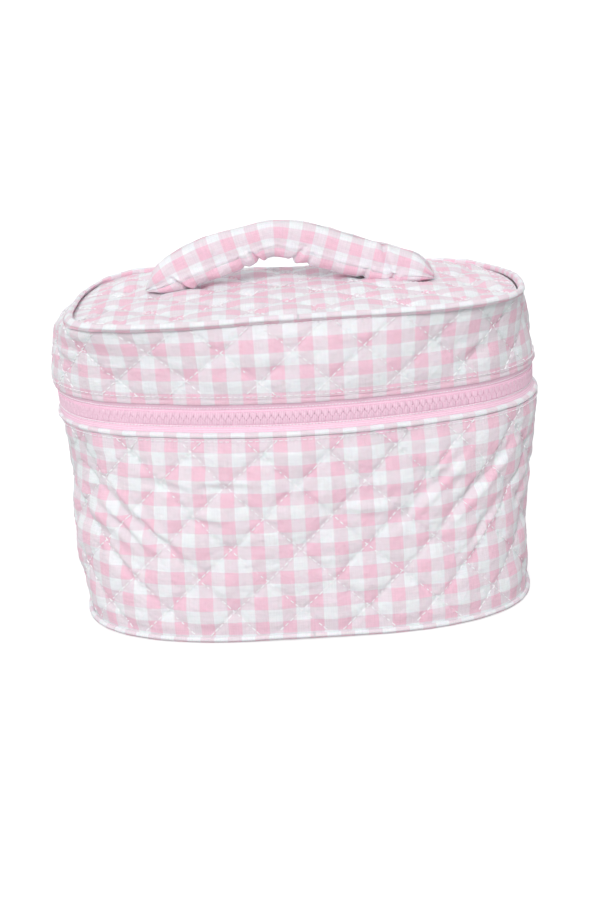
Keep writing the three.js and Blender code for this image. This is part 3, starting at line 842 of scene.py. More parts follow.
# %% Stitch places
def quilt_stitch_places(quilting, inside, u_range, v_range):
    """Centres and ways of the stitches along both sets of quilting lines."""
    centres, ways = [], []
    slope = np.array([quilting.wide, quilting.tall])
    unit = slope / np.hypot(*slope)
    span = np.hypot(u_range[1] - u_range[0], v_range[1] - v_range[0])
    lines = int(span / quilting.tall) + 2
    along = np.arange(-1.2 * span, 1.2 * span, STITCH_PITCH)[:, None]
    for way in (unit, unit * (1, -1)):
        for nth in range(-2 * lines, 2 * lines):
            at = np.array([quilting.u0 + nth * quilting.wide, quilting.v0]) + along * way
            # The stitched line wanders with the pillows, so the stitches wander too.
            u, v = at.T
            stray = np.stack([noise(u, v, WANDER_SIZE, k) for k in (1, 2)], 1)
            at = at - WANDER * stray
            u, v = at.T
            keep = (u > u_range[0]) & (u < u_range[1]) & (v > v_range[0]) & (v < v_range[1])
            at = at[keep & inside(u, v)]
            centres.append(at)
            ways.append(np.repeat(way[None] * STITCH_PITCH, len(at), 0))
    return np.concatenate(centres), np.concatenate(ways)


everywhere = lambda u, v: np.ones(len(u), bool)
sample = quilt_stitch_places(BODY_QUILT, everywhere, (0, 100 * MM), (0, 100 * MM))[0]
print("stitches in a piece of 100 by 100 mm:", len(sample))

# %% [markdown]
# ## Wall panels
# The front and both ends are one long panel from back seam to back seam, and the back is a
# panel of its own. The body and the lid are made the same way with their own heights.

# %% Build the walls
GRID = 1.25 * MM
BACK_DEPTH = 2.5 * MM
SEAM_U = SEAM_SHARE * GIRTH
SEAM_GAP = 0.15 * MM
TURN_IN = 2.5 * MM  # how wide the cloth turns in at a side seam
SEAM_STAND = 0.25  # the share of its height that is left at the seam


def laid(u, v, column, row, wide=1.0, tall=1.0):
    """Cloth places such that a dyed column and a dyed row cross at (column, row), in mm."""
    first = CHECK / 2
    return np.stack([(u - column * MM) * wide + first, (v - row * MM) * tall + first], -1)


def body_cloth(u, z):
    return laid(u, z, 1.3, 82.6, 1.01, 1.01)


def lid_cloth(u, z):
    return laid(u, z, 2.3, 140.6, 0.985, 1.045)


SIDES = {
    "front": (-SEAM_U + SEAM_GAP, SEAM_U - SEAM_GAP),
    "back": (SEAM_U + SEAM_GAP, GIRTH - SEAM_U - SEAM_GAP),
}
BODY = (body_wall, body_cloth, BODY_LOW, BODY_HIGH, "case")
LID = (lid_wall, lid_cloth, LID_LOW, LID_HIGH, "lid")


def wall_panel(name, shell, side, node):
    """One quilted panel of a shell, from seam to seam; the cloth turns in at both seams."""
    surface, lay, low, high, body = shell
    u0, u1 = SIDES[side]
    columns = round((u1 - u0) / GRID) + 1
    rows = round((high - low) / GRID) + 1
    u, z = np.meshgrid(np.linspace(u0, u1, columns), np.linspace(low, high, rows), indexing="ij")
    front = surface(u, z)
    stand = SEAM_STAND + (1 - SEAM_STAND) * ease(np.minimum(u - u0, u1 - u) / TURN_IN)
    inner = wall(u / GIRTH, z, -BACK_DEPTH + 0.1 * MM)
    front = inner + (front - inner) * stand[..., None]
    back_z = np.array([low, (low + high) / 2, high])
    bu, bz = np.meshgrid(np.linspace(u0, u1, columns), back_z, indexing="ij")
    verts, faces = closed_panel(front, wall(bu / GIRTH, bz, -BACK_DEPTH))
    cloth = np.concatenate([lay(u, z).reshape(-1, 2), lay(bu, bz).reshape(-1, 2)])
    made = piece(name, verts, faces, cloth, QUILT_CLOTH, body, [node])


wall_panel("Body_front_panel", BODY, "front", "body_wall")
wall_panel("Body_back_panel", BODY, "back", "back_panel_lower")
wall_panel("Lid_front_band", LID, "front", "lid_band")
wall_panel("Lid_back_band", LID, "back", "back_panel_upper")

# %% [markdown]
# ## Quilting on the walls
# The stitches keep a small margin from every seam, since the quilting is sewn before the panel
# is cut and its ends are caught in the seams.

# %% Quilt the walls
SIDE_MARGIN, EDGE_MARGIN = 2 * MM, 1.5 * MM
for label, shell, quilting in (("Body", BODY, BODY_QUILT), ("Lid", LID, LID_QUILT)):
    surface, _, low, high, body = shell
    for side, (u0, u1) in SIDES.items():
        u_range = (u0 + SIDE_MARGIN, u1 - SIDE_MARGIN)
        places = quilt_stitch_places(
            quilting, everywhere, u_range, (low + EDGE_MARGIN, high - EDGE_MARGIN)
        )
        stitches(f"{label}_{side}_quilting", *places, surface, body)

# %% [markdown]
# ## The forms of the lid top and the base
# Both are ovals of the same quilted cloth. The lid top is domed, its handle has pulled it up,
# and drag lines run from the handle's ends into the corners. The base is pressed flat where it
# stands. Each is a height over x and y, so that its stitches can be laid with the same function.

# %% Surfaces of the ovals
PANEL_GROW = 0.9 * MM  # the cloth reaches this much further under the piping than its drawing
TOP_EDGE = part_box("lid_top_panel")[1].x + PANEL_GROW
TOP_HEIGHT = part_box("lid_top_panel")[1].z
TOP_RISE = 2.6 * MM
BASE_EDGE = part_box("base_panel")[1].x + PANEL_GROW
PANEL_INSET = TOP_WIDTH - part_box("lid_top_panel")[1].x - PANEL_GROW
HANDLE_PULL, REAR_PULL = 3.6 * MM, 2.4 * MM
STANDING = 0.05 * MM  # height of the lowest cloth above the floor
TOP_FOLDS = [
    (-72, 0, -98, -44, 3.0, 1.6),
    (-74, 2, -100, 36, 3.0, 1.2),
    (72, 0, 99, -42, 3.0, 1.6),
    (74, 2, 99, 38, 3.0, 1.2),
    (-60, -12, 0, -26, 3.4, 0.9),
    (60, -12, 10, -28, 3.4, 0.8),
]


def oval_share(x, y, width, depth, power):
    """0 in the middle of a superellipse and 1 on its edge."""
    return ((np.abs(x) / width) ** power + (np.abs(y) / depth) ** power) ** (1 / power)


def lid_top(x, y, lift=0.0):
    share = oval_share(x, y, TOP_EDGE, TOP_DEPTH - PANEL_INSET, TOP_POWER)
    edge = (1 - np.clip(share, 0, 1)) * TOP_DEPTH
    # The handle has pulled the middle of the lid up, most of all behind it.
    toward_rear = 0.45 + 0.55 * ease((y + 15 * MM) / (45 * MM))
    ridge = ease((1 - share) / 0.75) * toward_rear * HANDLE_PULL
    ridge += ease((1 - share) / 0.22) * ease((y - 5 * MM) / (35 * MM)) * REAR_PULL
    crown = TOP_HEIGHT - TOP_RISE * share**2 + ridge
    z = crown + TOP_QUILT.relief(x, y, edge) * 0.9 + folds(x, y, TOP_FOLDS)
    return np.stack([x, y, z + lift], -1)


def base_bottom(x, y, lift=0.0):
    share = oval_share(x, y, BASE_EDGE, BASE_DEPTH - PANEL_INSET, BASE_POWER)
    edge = (1 - np.clip(share, 0, 1)) * BASE_DEPTH
    # The crowns of the pillows are pressed flat where the bag stands on them.
    z = np.maximum(0.1 * MM - TOP_QUILT.relief(x, y, edge) * 0.7, STANDING)
    return np.stack([x, y, z - lift], -1)


print("middle of the lid top", lid_top(0.0, 0.0).round(4))
print("middle of the base", base_bottom(0.0, 0.0).round(5))

# %% [markdown]
# ## Panels from those forms
# A panel could be cut from a square grid, but its edge would be ragged. This mesh is a set of
# rings that shrink from the rim to the middle, which keeps the rim exactly on the seam.

# %% Quilted ovals
def oval_panel(name, surface, line, back_z, body, node, up):
    """A closed oval panel: its quilted face looks up or down, and back_z is its plain side."""
    around = round(TOP_GIRTH / GRID)
    rings = round(TOP_DEPTH / GRID)
    share = np.linspace(0, 1, around, endpoint=False)
    rim = outline(line, share)
    ahead, behind = outline(line, share + STEP_AHEAD), outline(line, share - STEP_AHEAD)
    way = (ahead - behind) / np.linalg.norm(ahead - behind, axis=1, keepdims=True)
    rim = rim - np.stack([way[:, 1], -way[:, 0]], 1) * PANEL_INSET
    scale = np.linspace(0, 1, rings + 1)[1:]
    xy = rim[:, None] * scale[None, :, None]
    front = surface(xy[..., 0], xy[..., 1])
    middle = surface(np.zeros(1), np.zeros(1))[0]
    n, m = around, rings
    back = np.concatenate([rim * 0.999, np.full((n, 1), back_z)], 1)
    verts = np.concatenate([front.reshape(-1, 3), back, middle[None], [[0, 0, back_z]]])
    faces = grid_faces(n, m, joined=True)
    i = np.arange(n)
    k = (i + 1) % n
    centre, under = n * m + n, n * m + n + 1
    faces += np.stack([i * m, np.full(n, centre), k * m], 1).tolist()
    faces += np.stack([i * m + m - 1, k * m + m - 1, n * m + k, n * m + i], 1).tolist()
    faces += np.stack([n * m + i, n * m + k, np.full(n, under)], 1).tolist()
    if up:
        faces = [f[::-1] for f in faces]
    cloth = laid(verts[:, 0], verts[:, 1], -3.4, -10.2)
    made = piece(name, verts, faces, cloth, QUILT_CLOTH, body, [node])


top_under, base_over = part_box("lid_top_panel")[0].z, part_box("base_panel")[1].z
oval_panel("Lid_top", lid_top, TOP_LINE, top_under, "lid", "lid_top_panel", True)
oval_panel("Base", base_bottom, BASE_LINE, base_over, "case", "base_panel", False)

# %% [markdown]
# ## Quilting on the ovals
# The same lines of stitches run over the lid top and the base, and stop short of the piping.

# %% Quilt the ovals
def inside_oval(width, depth, power):
    return lambda x, y: oval_share(x, y, width, depth, power) < 0.985


reach = (-HALF_WIDTH, HALF_WIDTH), (-HALF_DEPTH, HALF_DEPTH)
top_inside = inside_oval(TOP_EDGE, TOP_DEPTH - PANEL_INSET, TOP_POWER)
base_inside = inside_oval(BASE_EDGE, BASE_DEPTH - PANEL_INSET, BASE_POWER)
stitches("Lid_top_quilting", *quilt_stitch_places(TOP_QUILT, top_inside, *reach), lid_top, "lid")
base_places = quilt_stitch_places(TOP_QUILT, base_inside, *reach)
stitches("Base_quilting", *base_places, base_bottom, "case")

# %% [markdown]
# ## Piping
# Piping is a cord in a sleeve of the same gingham, sewn into a seam to hold its edge. Here it
# is one round profile carried round the bag, and soft noise swells it where the seam gathers.
# A curve with a bevel would do as well, but this way its checks follow the sleeve.

# %% Piping
def piping(name, line_z, tall, deep, out_at, row, body, node):
    """A piped seam: half height, half depth and place of its middle, in metres."""
    n, m = 900, 12
    share = np.linspace(0, 1, n, endpoint=False)[:, None]
    turn = 2 * math.pi * np.arange(m)[None] / m
    along = share * GIRTH
    swell = 1 + 0.08 * noise(along, turn * 3 * MM, 5 * MM, 21)
    wander = 0.3 * MM * noise(along, 0 * along, 26 * MM, 22)
    out = out_at + deep * swell * np.cos(turn)
    points = wall(share + 0 * turn, np.full((n, m), line_z), out)
    points[..., 2] = np.clip(line_z + wander + tall * swell * np.sin(turn), 0.1 * MM, None)
    verts, faces = ring_solid(points, True)
    cloth = laid(along + 0 * turn, tall * (turn + 0 * along), 2.3, row)
    return piece(name, verts, faces, cloth, PIPING_CLOTH, body, [node])


piping("Top_piping", TOP_SEAM, 1.8 * MM, 1.7 * MM, -1.2 * MM, 7.4, "lid", "top_piping")
base_line = BASE_SEAM - 0.4 * MM
piping("Base_piping", base_line, 1.35 * MM, 1.3 * MM, -1.5 * MM, -4.5, "case", "base_piping")

# %% [markdown]
# ## Hems
# Each edge beside the zip is folded over and sewn down. A hem is one folded profile carried
# along the front and the ends, with a small ripple, and its checks line up with the wall's.
# The zip tapes, the hinge strip and the linings are made with the same function.

# %% Hems
def band(name, profile, u0, u1, material, body, slot, node, step, ripple, joined=False, lay=None):
    """A profile of (out, height) points in metres carried round the wall from u0 to u1."""
    n = round((u1 - u0) / step) + (0 if joined else 1)
    u = np.linspace(u0, u1, n, endpoint=not joined)[:, None]
    out = np.array([p[0] for p in profile])[None]
    z = np.array([p[1] for p in profile])[None]
    lie = ripple * noise(u, z, 9 * MM, 31) + ripple * 0.6 * noise(u, z, 4 * MM, 32)
    points = wall(u / GIRTH + 0 * out, z + 0 * u, out + lie)
    verts, faces = ring_solid(points, joined)
    if body is None:
        # The hinge belongs to no one body, so piece() leaves its points alone.
        verts = settled(verts)
    run = np.concatenate([[0], np.cumsum(np.hypot(np.diff(out[0]), np.diff(z[0])))])
    cloth = lay(u + 0 * out, z + 0 * u) if lay else np.stack([u + 0 * out, run[None] + 0 * u], -1)
    faces = [f[::-1] for f in faces]
    return piece(name, verts, faces, cloth, material, body, [node])


def hem_profile(low, high, face, depth, sides=8):
    """A folded edge: round on the outside, flat where it meets the tape."""
    middle, half = (low + high) / 2, (high - low) / 2
    turn = np.linspace(-math.pi / 2, math.pi / 2, sides)
    nose = [(-face - half + half * math.cos(t), middle + half * math.sin(t)) for t in turn]
    return nose + [(-depth, high), (-depth, low)]


FRONT = SIDES["front"]
hem_low, hem_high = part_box("body_hem")[0].z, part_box("body_hem")[1].z
lid_hem_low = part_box("lid_hem")[0].z
HEM_STEP = 1.5 * MM
band(
    "Body_hem", hem_profile(hem_low - 0.2 * MM, hem_high, 0.7 * MM, 4.5 * MM), *FRONT,
    HEM_CLOTH, "case", "hem_cloth", "body_hem", HEM_STEP, 0.3 * MM, lay=body_cloth,
)
# The lid's hem is flatter: (out, height above its lower edge), in mm.
LID_HEM = [
    (-4.5, 0.0), (-2.2, 0.0), (-1.75, 0.15), (-1.5, 0.6),
    (-1.4, 1.4), (-1.5, 2.4), (-1.9, 3.0), (-4.5, 3.0),
]
band(
    "Lid_hem", [(o * MM, lid_hem_low + h * MM) for o, h in LID_HEM][::-1], *FRONT,
    HEM_CLOTH, "lid", "hem_cloth", "lid_hem", HEM_STEP, 0.35 * MM, lay=lid_cloth,
)

# %% [markdown]
# ## The zip
# Both tapes come out from behind the hems. A tape stands a little prouder under the teeth,
# where its edge is thickened to hold them, and again where it meets the hem's stitching.

# %% Zip tapes
TAPE_FACE, TAPE_BACK = 3.5 * MM, 5.7 * MM
TEETH_RAISE, HEM_RAISE = 0.35 * MM, 1.1 * MM


def tape(name, low, high, body, node):
    rows = np.linspace(low, high, 12)
    off = np.abs(rows - ZIP_MIDDLE)
    raised = ease((3.4 * MM - off) / (0.7 * MM)) * TEETH_RAISE
    raised += ease((off - 4.4 * MM) / (1.6 * MM)) * HEM_RAISE
    profile = [(r - TAPE_FACE, z) for r, z in zip(raised, rows)]
    profile += [(-TAPE_BACK, high), (-TAPE_BACK, low)]
    return band(name, profile, *FRONT, TAPE, body, "zip_tape", node, 2 * MM, 0.15 * MM)


lower_tape, upper_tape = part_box("zip_tape_lower"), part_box("zip_tape_upper")
tape("Tape_lower", lower_tape[0].z, lower_tape[1].z - 0.6 * MM, "case", "zip_tape_lower")
tape("Tape_upper", upper_tape[0].z + 0.6 * MM, upper_tape[1].z, "lid", "zip_tape_upper")

# %% [markdown]
# ## The zip's teeth
# Each tape carries a row of moulded teeth. A tooth has a narrow neck and a wider head, and the
# heads of one row sit between the necks of the other. One tooth is drawn as an outline and
# copied along the zip, which keeps every tooth alike and the rows in step.

# %% Zip teeth
TOOTH_PITCH = 3.25 * MM
ROW_START = 2 * MM
# Half outline of a tooth from its root to the tip of its head: (height, half width), in mm.
TOOTH_OUTLINE = [
    (-2.75, 1.2), (-2.5, 1.5), (-0.85, 1.52), (-0.6, 1.2), (-0.2, 0.7), (0.1, 0.76),
    (0.4, 0.76), (0.65, 0.4),
]
TOOTH_DEPTHS = [(2.75, 0.8), (2.95, 1.0), (4.0, 1.0), (4.5, 0.9)]  # (inset, share of width)


def teeth(name, up, start, body, node):
    places = np.arange(FRONT[0] + start, FRONT[1] - 2 * MM, TOOTH_PITCH)
    half = np.array(TOOTH_OUTLINE) * MM
    rim = np.concatenate([half * (1, 1), half[::-1] * (1, -1)])
    m = len(rim)
    along = np.concatenate([rim[:, 1] * share for _, share in TOOTH_DEPTHS])
    height = np.concatenate([rim[:, 0] for _ in TOOTH_DEPTHS]) * up
    out = np.repeat([-inset * MM for inset, _ in TOOTH_DEPTHS], m)
    u = places[:, None] + along[None]
    z = ZIP_MIDDLE + height[None] + 0 * u
    points = wall(u / GIRTH, z, out[None] + 0 * u)
    faces = rings_joined(len(places), len(TOOTH_DEPTHS), m, flip=up < 0)
    cloth = np.stack([u, z], -1)
    return piece(name, points, faces, cloth, TEETH, body, [node], 35)


teeth("Teeth_lower", 1, ROW_START, "case", "zip_teeth_lower")
teeth("Teeth_upper", -1, ROW_START + TOOTH_PITCH / 2, "lid", "zip_teeth_upper")

# %% [markdown]
# ## Edge stitching
# One row of stitches runs just below the body's hem, one just above the lid's and one below the
# lid's top seam. Two finer rows hold the tapes. They are the same stitches as the quilting's,
# only shorter and laid in a straight line.

# %% Hem stitching
def straight_stitches(name, surface, height, body, pitch=2.7 * MM, radius=0.2 * MM):
    u = np.arange(FRONT[0] + 2 * MM, FRONT[1] - 2 * MM, pitch)
    centres = np.stack([u, np.full_like(u, height)], 1)
    ways = np.tile([pitch * 0.9, 0.0], (len(u), 1))
    return stitches(name, centres, ways, surface, body, radius=radius)


def tape_face(u, z, lift=0.0):
    return wall(u / GIRTH, z, lift - TAPE_FACE)


straight_stitches("Tape_upper_stitching", tape_face, ZIP_MIDDLE + 4.5 * MM, "lid", 1.5 * MM)
straight_stitches("Tape_lower_stitching", tape_face, ZIP_MIDDLE - 3.7 * MM, "case", 1.5 * MM)
straight_stitches("Body_hem_stitching", body_wall, BODY_HIGH - 1.2 * MM, "case")
straight_stitches("Lid_hem_stitching", lid_wall, LID_LOW + 1.2 * MM, "lid")
straight_stitches("Lid_seam_stitching", lid_wall, LID_HIGH - 1.0 * MM, "lid")

# %% [markdown]
# ## The cloth hinge
# Behind the two back panels a strip of the same cloth joins body and lid. A real strip bends as
# the lid opens; this one belongs to neither body and stays where it is laid.

# %% Hinge strip
STRIP_FACE, STRIP_BACK = 4.9 * MM, 5.7 * MM
STRIP_SWELL = 2.2 * MM  # the strip bows out between its two seams
STRIP_OVERLAP = 0.1 * MM
strip_low, strip_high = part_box("hinge_strip")[0].z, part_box("hinge_strip")[1].z
strip_rows = np.linspace(strip_low, strip_high, 13)
swell = STRIP_SWELL * np.sin(math.pi * (strip_rows - strip_low) / (strip_high - strip_low))
strip_profile = [(-STRIP_FACE + bow, z) for bow, z in zip(swell, strip_rows)]
strip_profile += [(-STRIP_BACK + bow, z) for bow, z in zip(swell[::-1], strip_rows[::-1])]
strip_start, strip_end = SIDES["back"]
hinge = band(
    "Hinge_strip", strip_profile, strip_start + STRIP_OVERLAP, strip_end - STRIP_OVERLAP,
    HEM_CLOTH, None, "hem_cloth", "hinge_strip", 2 * MM, 0.2 * MM,
)


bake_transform(hinge)

# %% [markdown]
# ## Lining
# The lining hides the wadding. It is sewn in loosely, so it shows soft ripples. On the walls it
# is a thin ring, made as the hems are.

# %% Lining of the walls
LINING_FACE, LINING_BACK = 6.3 * MM, 7.0 * MM
LINING_STEP, LINING_RIPPLE = 2.5 * MM, 0.28 * MM


def lining_ring(name, node, body):
    low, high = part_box(node)
    rows = np.linspace(low.z, high.z, 9)
    profile = [(-LINING_FACE, z) for z in rows] + [(-LINING_BACK, z) for z in rows[::-1]]
    return band(
        name, profile, 0.0, GIRTH, LINING, body, "lining", node, LINING_STEP, LINING_RIPPLE,
        joined=True,
    )


lining_ring("Body_lining", "body_lining", "case")
lining_ring("Lid_lining", "lid_band_lining", "lid")

# %% [markdown]
# ## Lining of the floor and the lid top
# These are thin oval sheets. The one in the lid hangs a little below the wadding and reaches to
# the wall, as a slack sheet does, so nothing shows through or beside it.

# %% Lining sheets
SHEET_THICKNESS = 0.5 * MM
SHEET_EDGE = 0.7 * MM  # how high the sheet's rim lies above the bottom of its drawing
SHEET_LIE = 0.15 * MM


def lining_sheet(name, node, line, body, drop, spread):
    """An oval sheet of lining, domed. It hangs lower and reaches wider than its drawing."""
    low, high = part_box(node)
    around, rings = 240, 24
    share = np.linspace(0, 1, around, endpoint=False)
    rim = outline(line, share)
    rim = rim * np.array([high.x, high.y]) / np.abs(rim).max(0) * spread
    scale = np.linspace(0, 1, rings + 1)[1:]
    xy = rim[:, None] * scale[None, :, None]
    dome = (high.z - low.z - SHEET_EDGE) * (1 - scale**2)[None, :]
    lie = SHEET_LIE * noise(xy[..., 0], xy[..., 1], 22 * MM, 41)
    z = low.z + SHEET_EDGE + dome + lie - SHEET_LIE - drop * (1 - 0.4 * scale**4)[None, :]
    top = np.concatenate([xy, z[..., None]], -1)
    bottom = top - np.array([0, 0, SHEET_THICKNESS])
    n, m = around, rings
    peak = high.z - SHEET_LIE - drop
    middles = [[0, 0, peak], [0, 0, peak - SHEET_THICKNESS]]
    verts = np.concatenate([top.reshape(-1, 3), bottom.reshape(-1, 3), middles])
    faces = grid_faces(n, m, joined=True, flip=True)
    faces += grid_faces(n, m, joined=True, first=n * m)
    i = np.arange(n)
    k = (i + 1) % n
    faces += np.stack([k * m, np.full(n, 2 * n * m), i * m], 1).tolist()
    faces += np.stack([n * m + i * m, np.full(n, 2 * n * m + 1), n * m + k * m], 1).tolist()
    rim_a = i * m + m - 1
    rim_b = k * m + m - 1
    faces += np.stack([rim_a + n * m, rim_b + n * m, rim_b, rim_a], 1).tolist()
    faces = [f[::-1] for f in faces]
    return piece(name, verts, faces, verts[:, :2], LINING, body, [node])


lining_sheet("Floor_lining", "base_lining", BASE_LINE, "case", 0.0, 1.0)
lining_sheet("Lid_top_lining", "lid_top_lining", TOP_LINE, "lid", 2.0 * MM, 1.035)

# %% [markdown]
# ## The handle
# The handle is a sleeve of gingham stuffed with soft filling. It arches over the lid, fuller
# on its shoulders than in the middle, where hands have squeezed it, and its two ends are
# gathered and sewn down. A few stations give its middle line and its thickness, and a smooth
# curve through them gives the rest.

# %% Handle line
# Each station is x, y and z of the middle, half height and half width, in mm.
HANDLE_STATIONS = np.array([
    (-70.5, 1.0, 155.4, 0.9, 5.5),
    (-67.5, 1.0, 156.8, 3.4, 7.0),
    (-64.0, 0.8, 158.4, 6.2, 8.0),
    (-58.0, 0.5, 161.4, 9.0, 8.4),
    (-52.0, 0.2, 163.8, 10.3, 8.4),
    (-44.0, 0.0, 166.8, 10.8, 8.4),
    (-32.5, 0.0, 170.5, 10.8, 8.2),
    (-21.9, 0.0, 173.6, 9.9, 8.2),
    (-8.7, 0.0, 176.4, 8.7, 8.0),
    (5.0, -0.3, 173.6, 9.7, 8.0),
    (18.6, -0.8, 169.4, 9.9, 8.2),
    (28.9, -1.6, 166.2, 9.8, 8.2),
    (39.6, -2.6, 163.2, 9.4, 8.2),
    (49.0, -4.0, 161.0, 8.8, 8.2),
    (56.0, -5.0, 159.4, 7.4, 8.0),
    (60.5, -5.4, 157.8, 5.2, 7.4),
    (63.5, -5.6, 156.4, 2.8, 6.4),
    (65.5, -5.6, 155.6, 0.9, 5.0),
]) * MM


def smooth_line(stations, count):
    """Points on a smooth curve through the stations, evenly spread along it."""
    before = 2 * stations[0] - stations[1]
    after = 2 * stations[-1] - stations[-2]
    p = np.vstack([before, stations, after])
    t = np.linspace(0, 1, 24, endpoint=False)[:, None]
    parts = []
    for p0, p1, p2, p3 in zip(p, p[1:], p[2:], p[3:]):
        curve = 2 * p1 + (p2 - p0) * t + (2 * p0 - 5 * p1 + 4 * p2 - p3) * t**2
        parts.append((curve + (3 * p1 - p0 - 3 * p2 + p3) * t**3) / 2)
    line = np.vstack(parts + [stations[-1:]])
    along = np.concatenate([[0], np.cumsum(np.linalg.norm(np.diff(line[:, :3], axis=0), axis=1))])
    at = np.linspace(0, along[-1], count)
    line = np.stack([np.interp(at, along, line[:, k]) for k in range(line.shape[1])], 1)
    return line, at - along[-1] / 2


print("length of the handle", round(np.ptp(smooth_line(HANDLE_STATIONS, 50)[1]), 4))

# %% [markdown]
# ## Creases in the handle
# Bending a stuffed sleeve leaves its outside tight and its inside too long, so the inside
# buckles into sharp kinks. The seam makes a long crease low on the front, and the gathered
# ends fold over themselves.

# %% Handle creases
SLEEVE_RADIUS = 9.6 * MM


def handle_creases(run, turn):
    """How far the sleeve stands out; turn is 0 on top and 90 degrees at the back."""
    around = turn * SLEEVE_RADIUS
    relief = 0.5 * MM * noise(run, around, 14 * MM, 51) + 0.34 * MM * noise(run, around, 5.5 * MM, 52)
    drag = noise(run * 0.35, around + run * 0.5, 4.2 * MM, 54)
    relief += 0.4 * MM * drag
    seam = math.radians(246) + 0.06 * noise(run, run * 0, 22 * MM, 55)
    relief += -0.55 * MM * np.exp(-(((turn - seam) / 0.07) ** 2))
    relief += -0.35 * MM * np.exp(-(((turn - seam - 0.3) / 0.06) ** 2))
    relief += 0.3 * MM * np.exp(-(((turn - seam - 0.15) / 0.12) ** 2))
    under = ease((-np.cos(turn) + 0.25) / 0.9)
    front = ease((-np.sin(turn) + 0.3) / 0.8)
    kinks = (
        (-20, -5, 1.9, 1.1, under),
        (-25, -2, 0.9, 1.4, under),
        (10, 6, 1.8, 1.1, under),
        (15, 3, 0.8, 1.4, under),
        (-58, -6, 2.2, 1.2, under * front),
        (42, 3, 1.3, 1.4, under * front),
        (50, -5, 1.4, 1.3, front),
        (56, 5, 1.7, 1.2, under * front),
    )
    for at, lean, depth, width, where in kinks:
        # A kink is a sharp valley with one steep side, where the slack folds over.
        line = (run - (at + lean * np.cos(turn)) * MM) / (width * MM)
        relief += depth * MM * where * (0.45 * np.exp(-((line - 1.9) ** 2) / 2) - np.exp(-(line**2)))
    ends = ease((np.abs(run) - 62 * MM) / (12 * MM))
    return relief + 0.8 * MM * ends * np.sin(5 * turn + 2 * noise(run, around, 20 * MM, 53))


deepest = handle_creases(np.linspace(-70, 70, 281)[:, None] * MM, np.linspace(0, 6, 61)[None]).min()
print("deepest crease", round(deepest, 5))

# %% [markdown]
# ## Sleeve and filling
# The sleeve is a ring of points at each station of the middle line, moved out by its creases,
# and the filling is the same form, shrunk. Where the ends come down they are laid on the lid
# top. The ends are sewn to the lid and the arch leans, but both pieces belong to no body.

# %% Handle cover
def handle_points(stations, around, shrink):
    """Points of the sleeve, or of the filling inside it when shrink is below 1."""
    line, run = smooth_line(HANDLE_STATIONS, stations)
    way = np.gradient(line[:, :3], axis=0)
    way /= np.linalg.norm(way, axis=1, keepdims=True)
    side = np.cross([0, 0, 1.0], way)
    side /= np.linalg.norm(side, axis=1, keepdims=True)
    up = np.cross(way, side)
    turn = (2 * math.pi * np.arange(around) / around)[None] + 0 * run[:, None]
    relief = handle_creases(run[:, None], turn)
    # The section is a soft pillow rather than a true circle.
    square = 1 - 0.07 * np.cos(4 * turn)
    rise = (line[:, 3:4] * square + relief) * np.cos(turn) * shrink
    reach = (line[:, 4:5] * square + relief) * np.sin(turn) * shrink
    points = line[:, None, :3] + up[:, None] * rise[..., None] + side[:, None] * reach[..., None]
    low = lid_top(points[..., 0], points[..., 1])
    low = settled(low)[:, 2].reshape(low.shape[:2]) - 0.5 * MM
    points[..., 2] = np.maximum(points[..., 2], low)
    return points, run[:, None] * 1.06 + 0 * turn, (turn - math.pi * 1.5) * 11.2 * MM


def handle_piece(name, stations, around, shrink, material, slot, nodes):
    points, run, girth = handle_points(stations, around, shrink)
    verts, faces = ring_solid(points, False)
    cloth = laid(run, girth, -3.0, 4.6)
    made = piece(name, verts, [f[::-1] for f in faces], cloth, material, None, nodes)
    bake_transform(made)


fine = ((260, 72))
COVERS = ["handle_cover", "handle_tab_left", "handle_tab_right"]
handle_piece("Handle", *fine, 1.0, HANDLE_CLOTH, "gingham_handle", COVERS)
handle_piece("Handle_filling", 80, 24, 0.82, FILLING, "filling", ["handle_core"])

# %% [markdown]
# ## Filling of the panels
# The wadding fills the space behind the cloth, so it has to settle with it. It is never seen
# when the bag is whole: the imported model's own mesh is copied and settled, and nothing more.

# %% Settled filling
def settled_filling(name, node, drop, body):
    """A copy of some wadding that has settled with its cloth."""
    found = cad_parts[node]
    verts = np.array([found.matrix_world @ v.co for v in found.data.vertices])
    verts[:, 2] -= drop
    faces = [list(f.vertices) for f in found.data.polygons]
    piece(name, verts, faces, verts[:, :2], FILLING, body, [node])


settled_filling("Body_filling", "body_wadding", 0.0, "case")
settled_filling("Lid_band_filling", "lid_band_wadding", 0.0, "lid")
settled_filling("Lid_top_filling", "lid_top_wadding", 0.8 * MM, "lid")

# %% [markdown]
# ## Board and slider
# The board stays as the model has it, since the lining hides it. The slider, its bail and its
# pull are cast and enamelled. They keep their exact shapes, because they move, and a small
# bevel rounds their edges as casting does.

# %% Finishes of the carried-over pieces
CAST_EDGE = 0.25 * MM
CARRIED = {
    "base_board": BOARD,
    "slider_body": ENAMEL,
    "slider_bail": ENAMEL,
    "pull_tab": ENAMEL,
}
for node, material in CARRIED.items():
    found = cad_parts[node]
    found.data.materials.clear()
    found.data.materials.append(material)
    if material is ENAMEL:
        edge = found.modifiers.new("Cast edge", "BEVEL")
        edge.width = CAST_EDGE
        edge.segments = 2
        edge.limit_method = "ANGLE"
    print(node, "gets", material.name)

# %% [markdown]
# ## The floor
# A product table is a white sweep without edges. A very large plane does for it here. It glows
# a little for the camera alone, so it reads as white without lighting the bag from below.

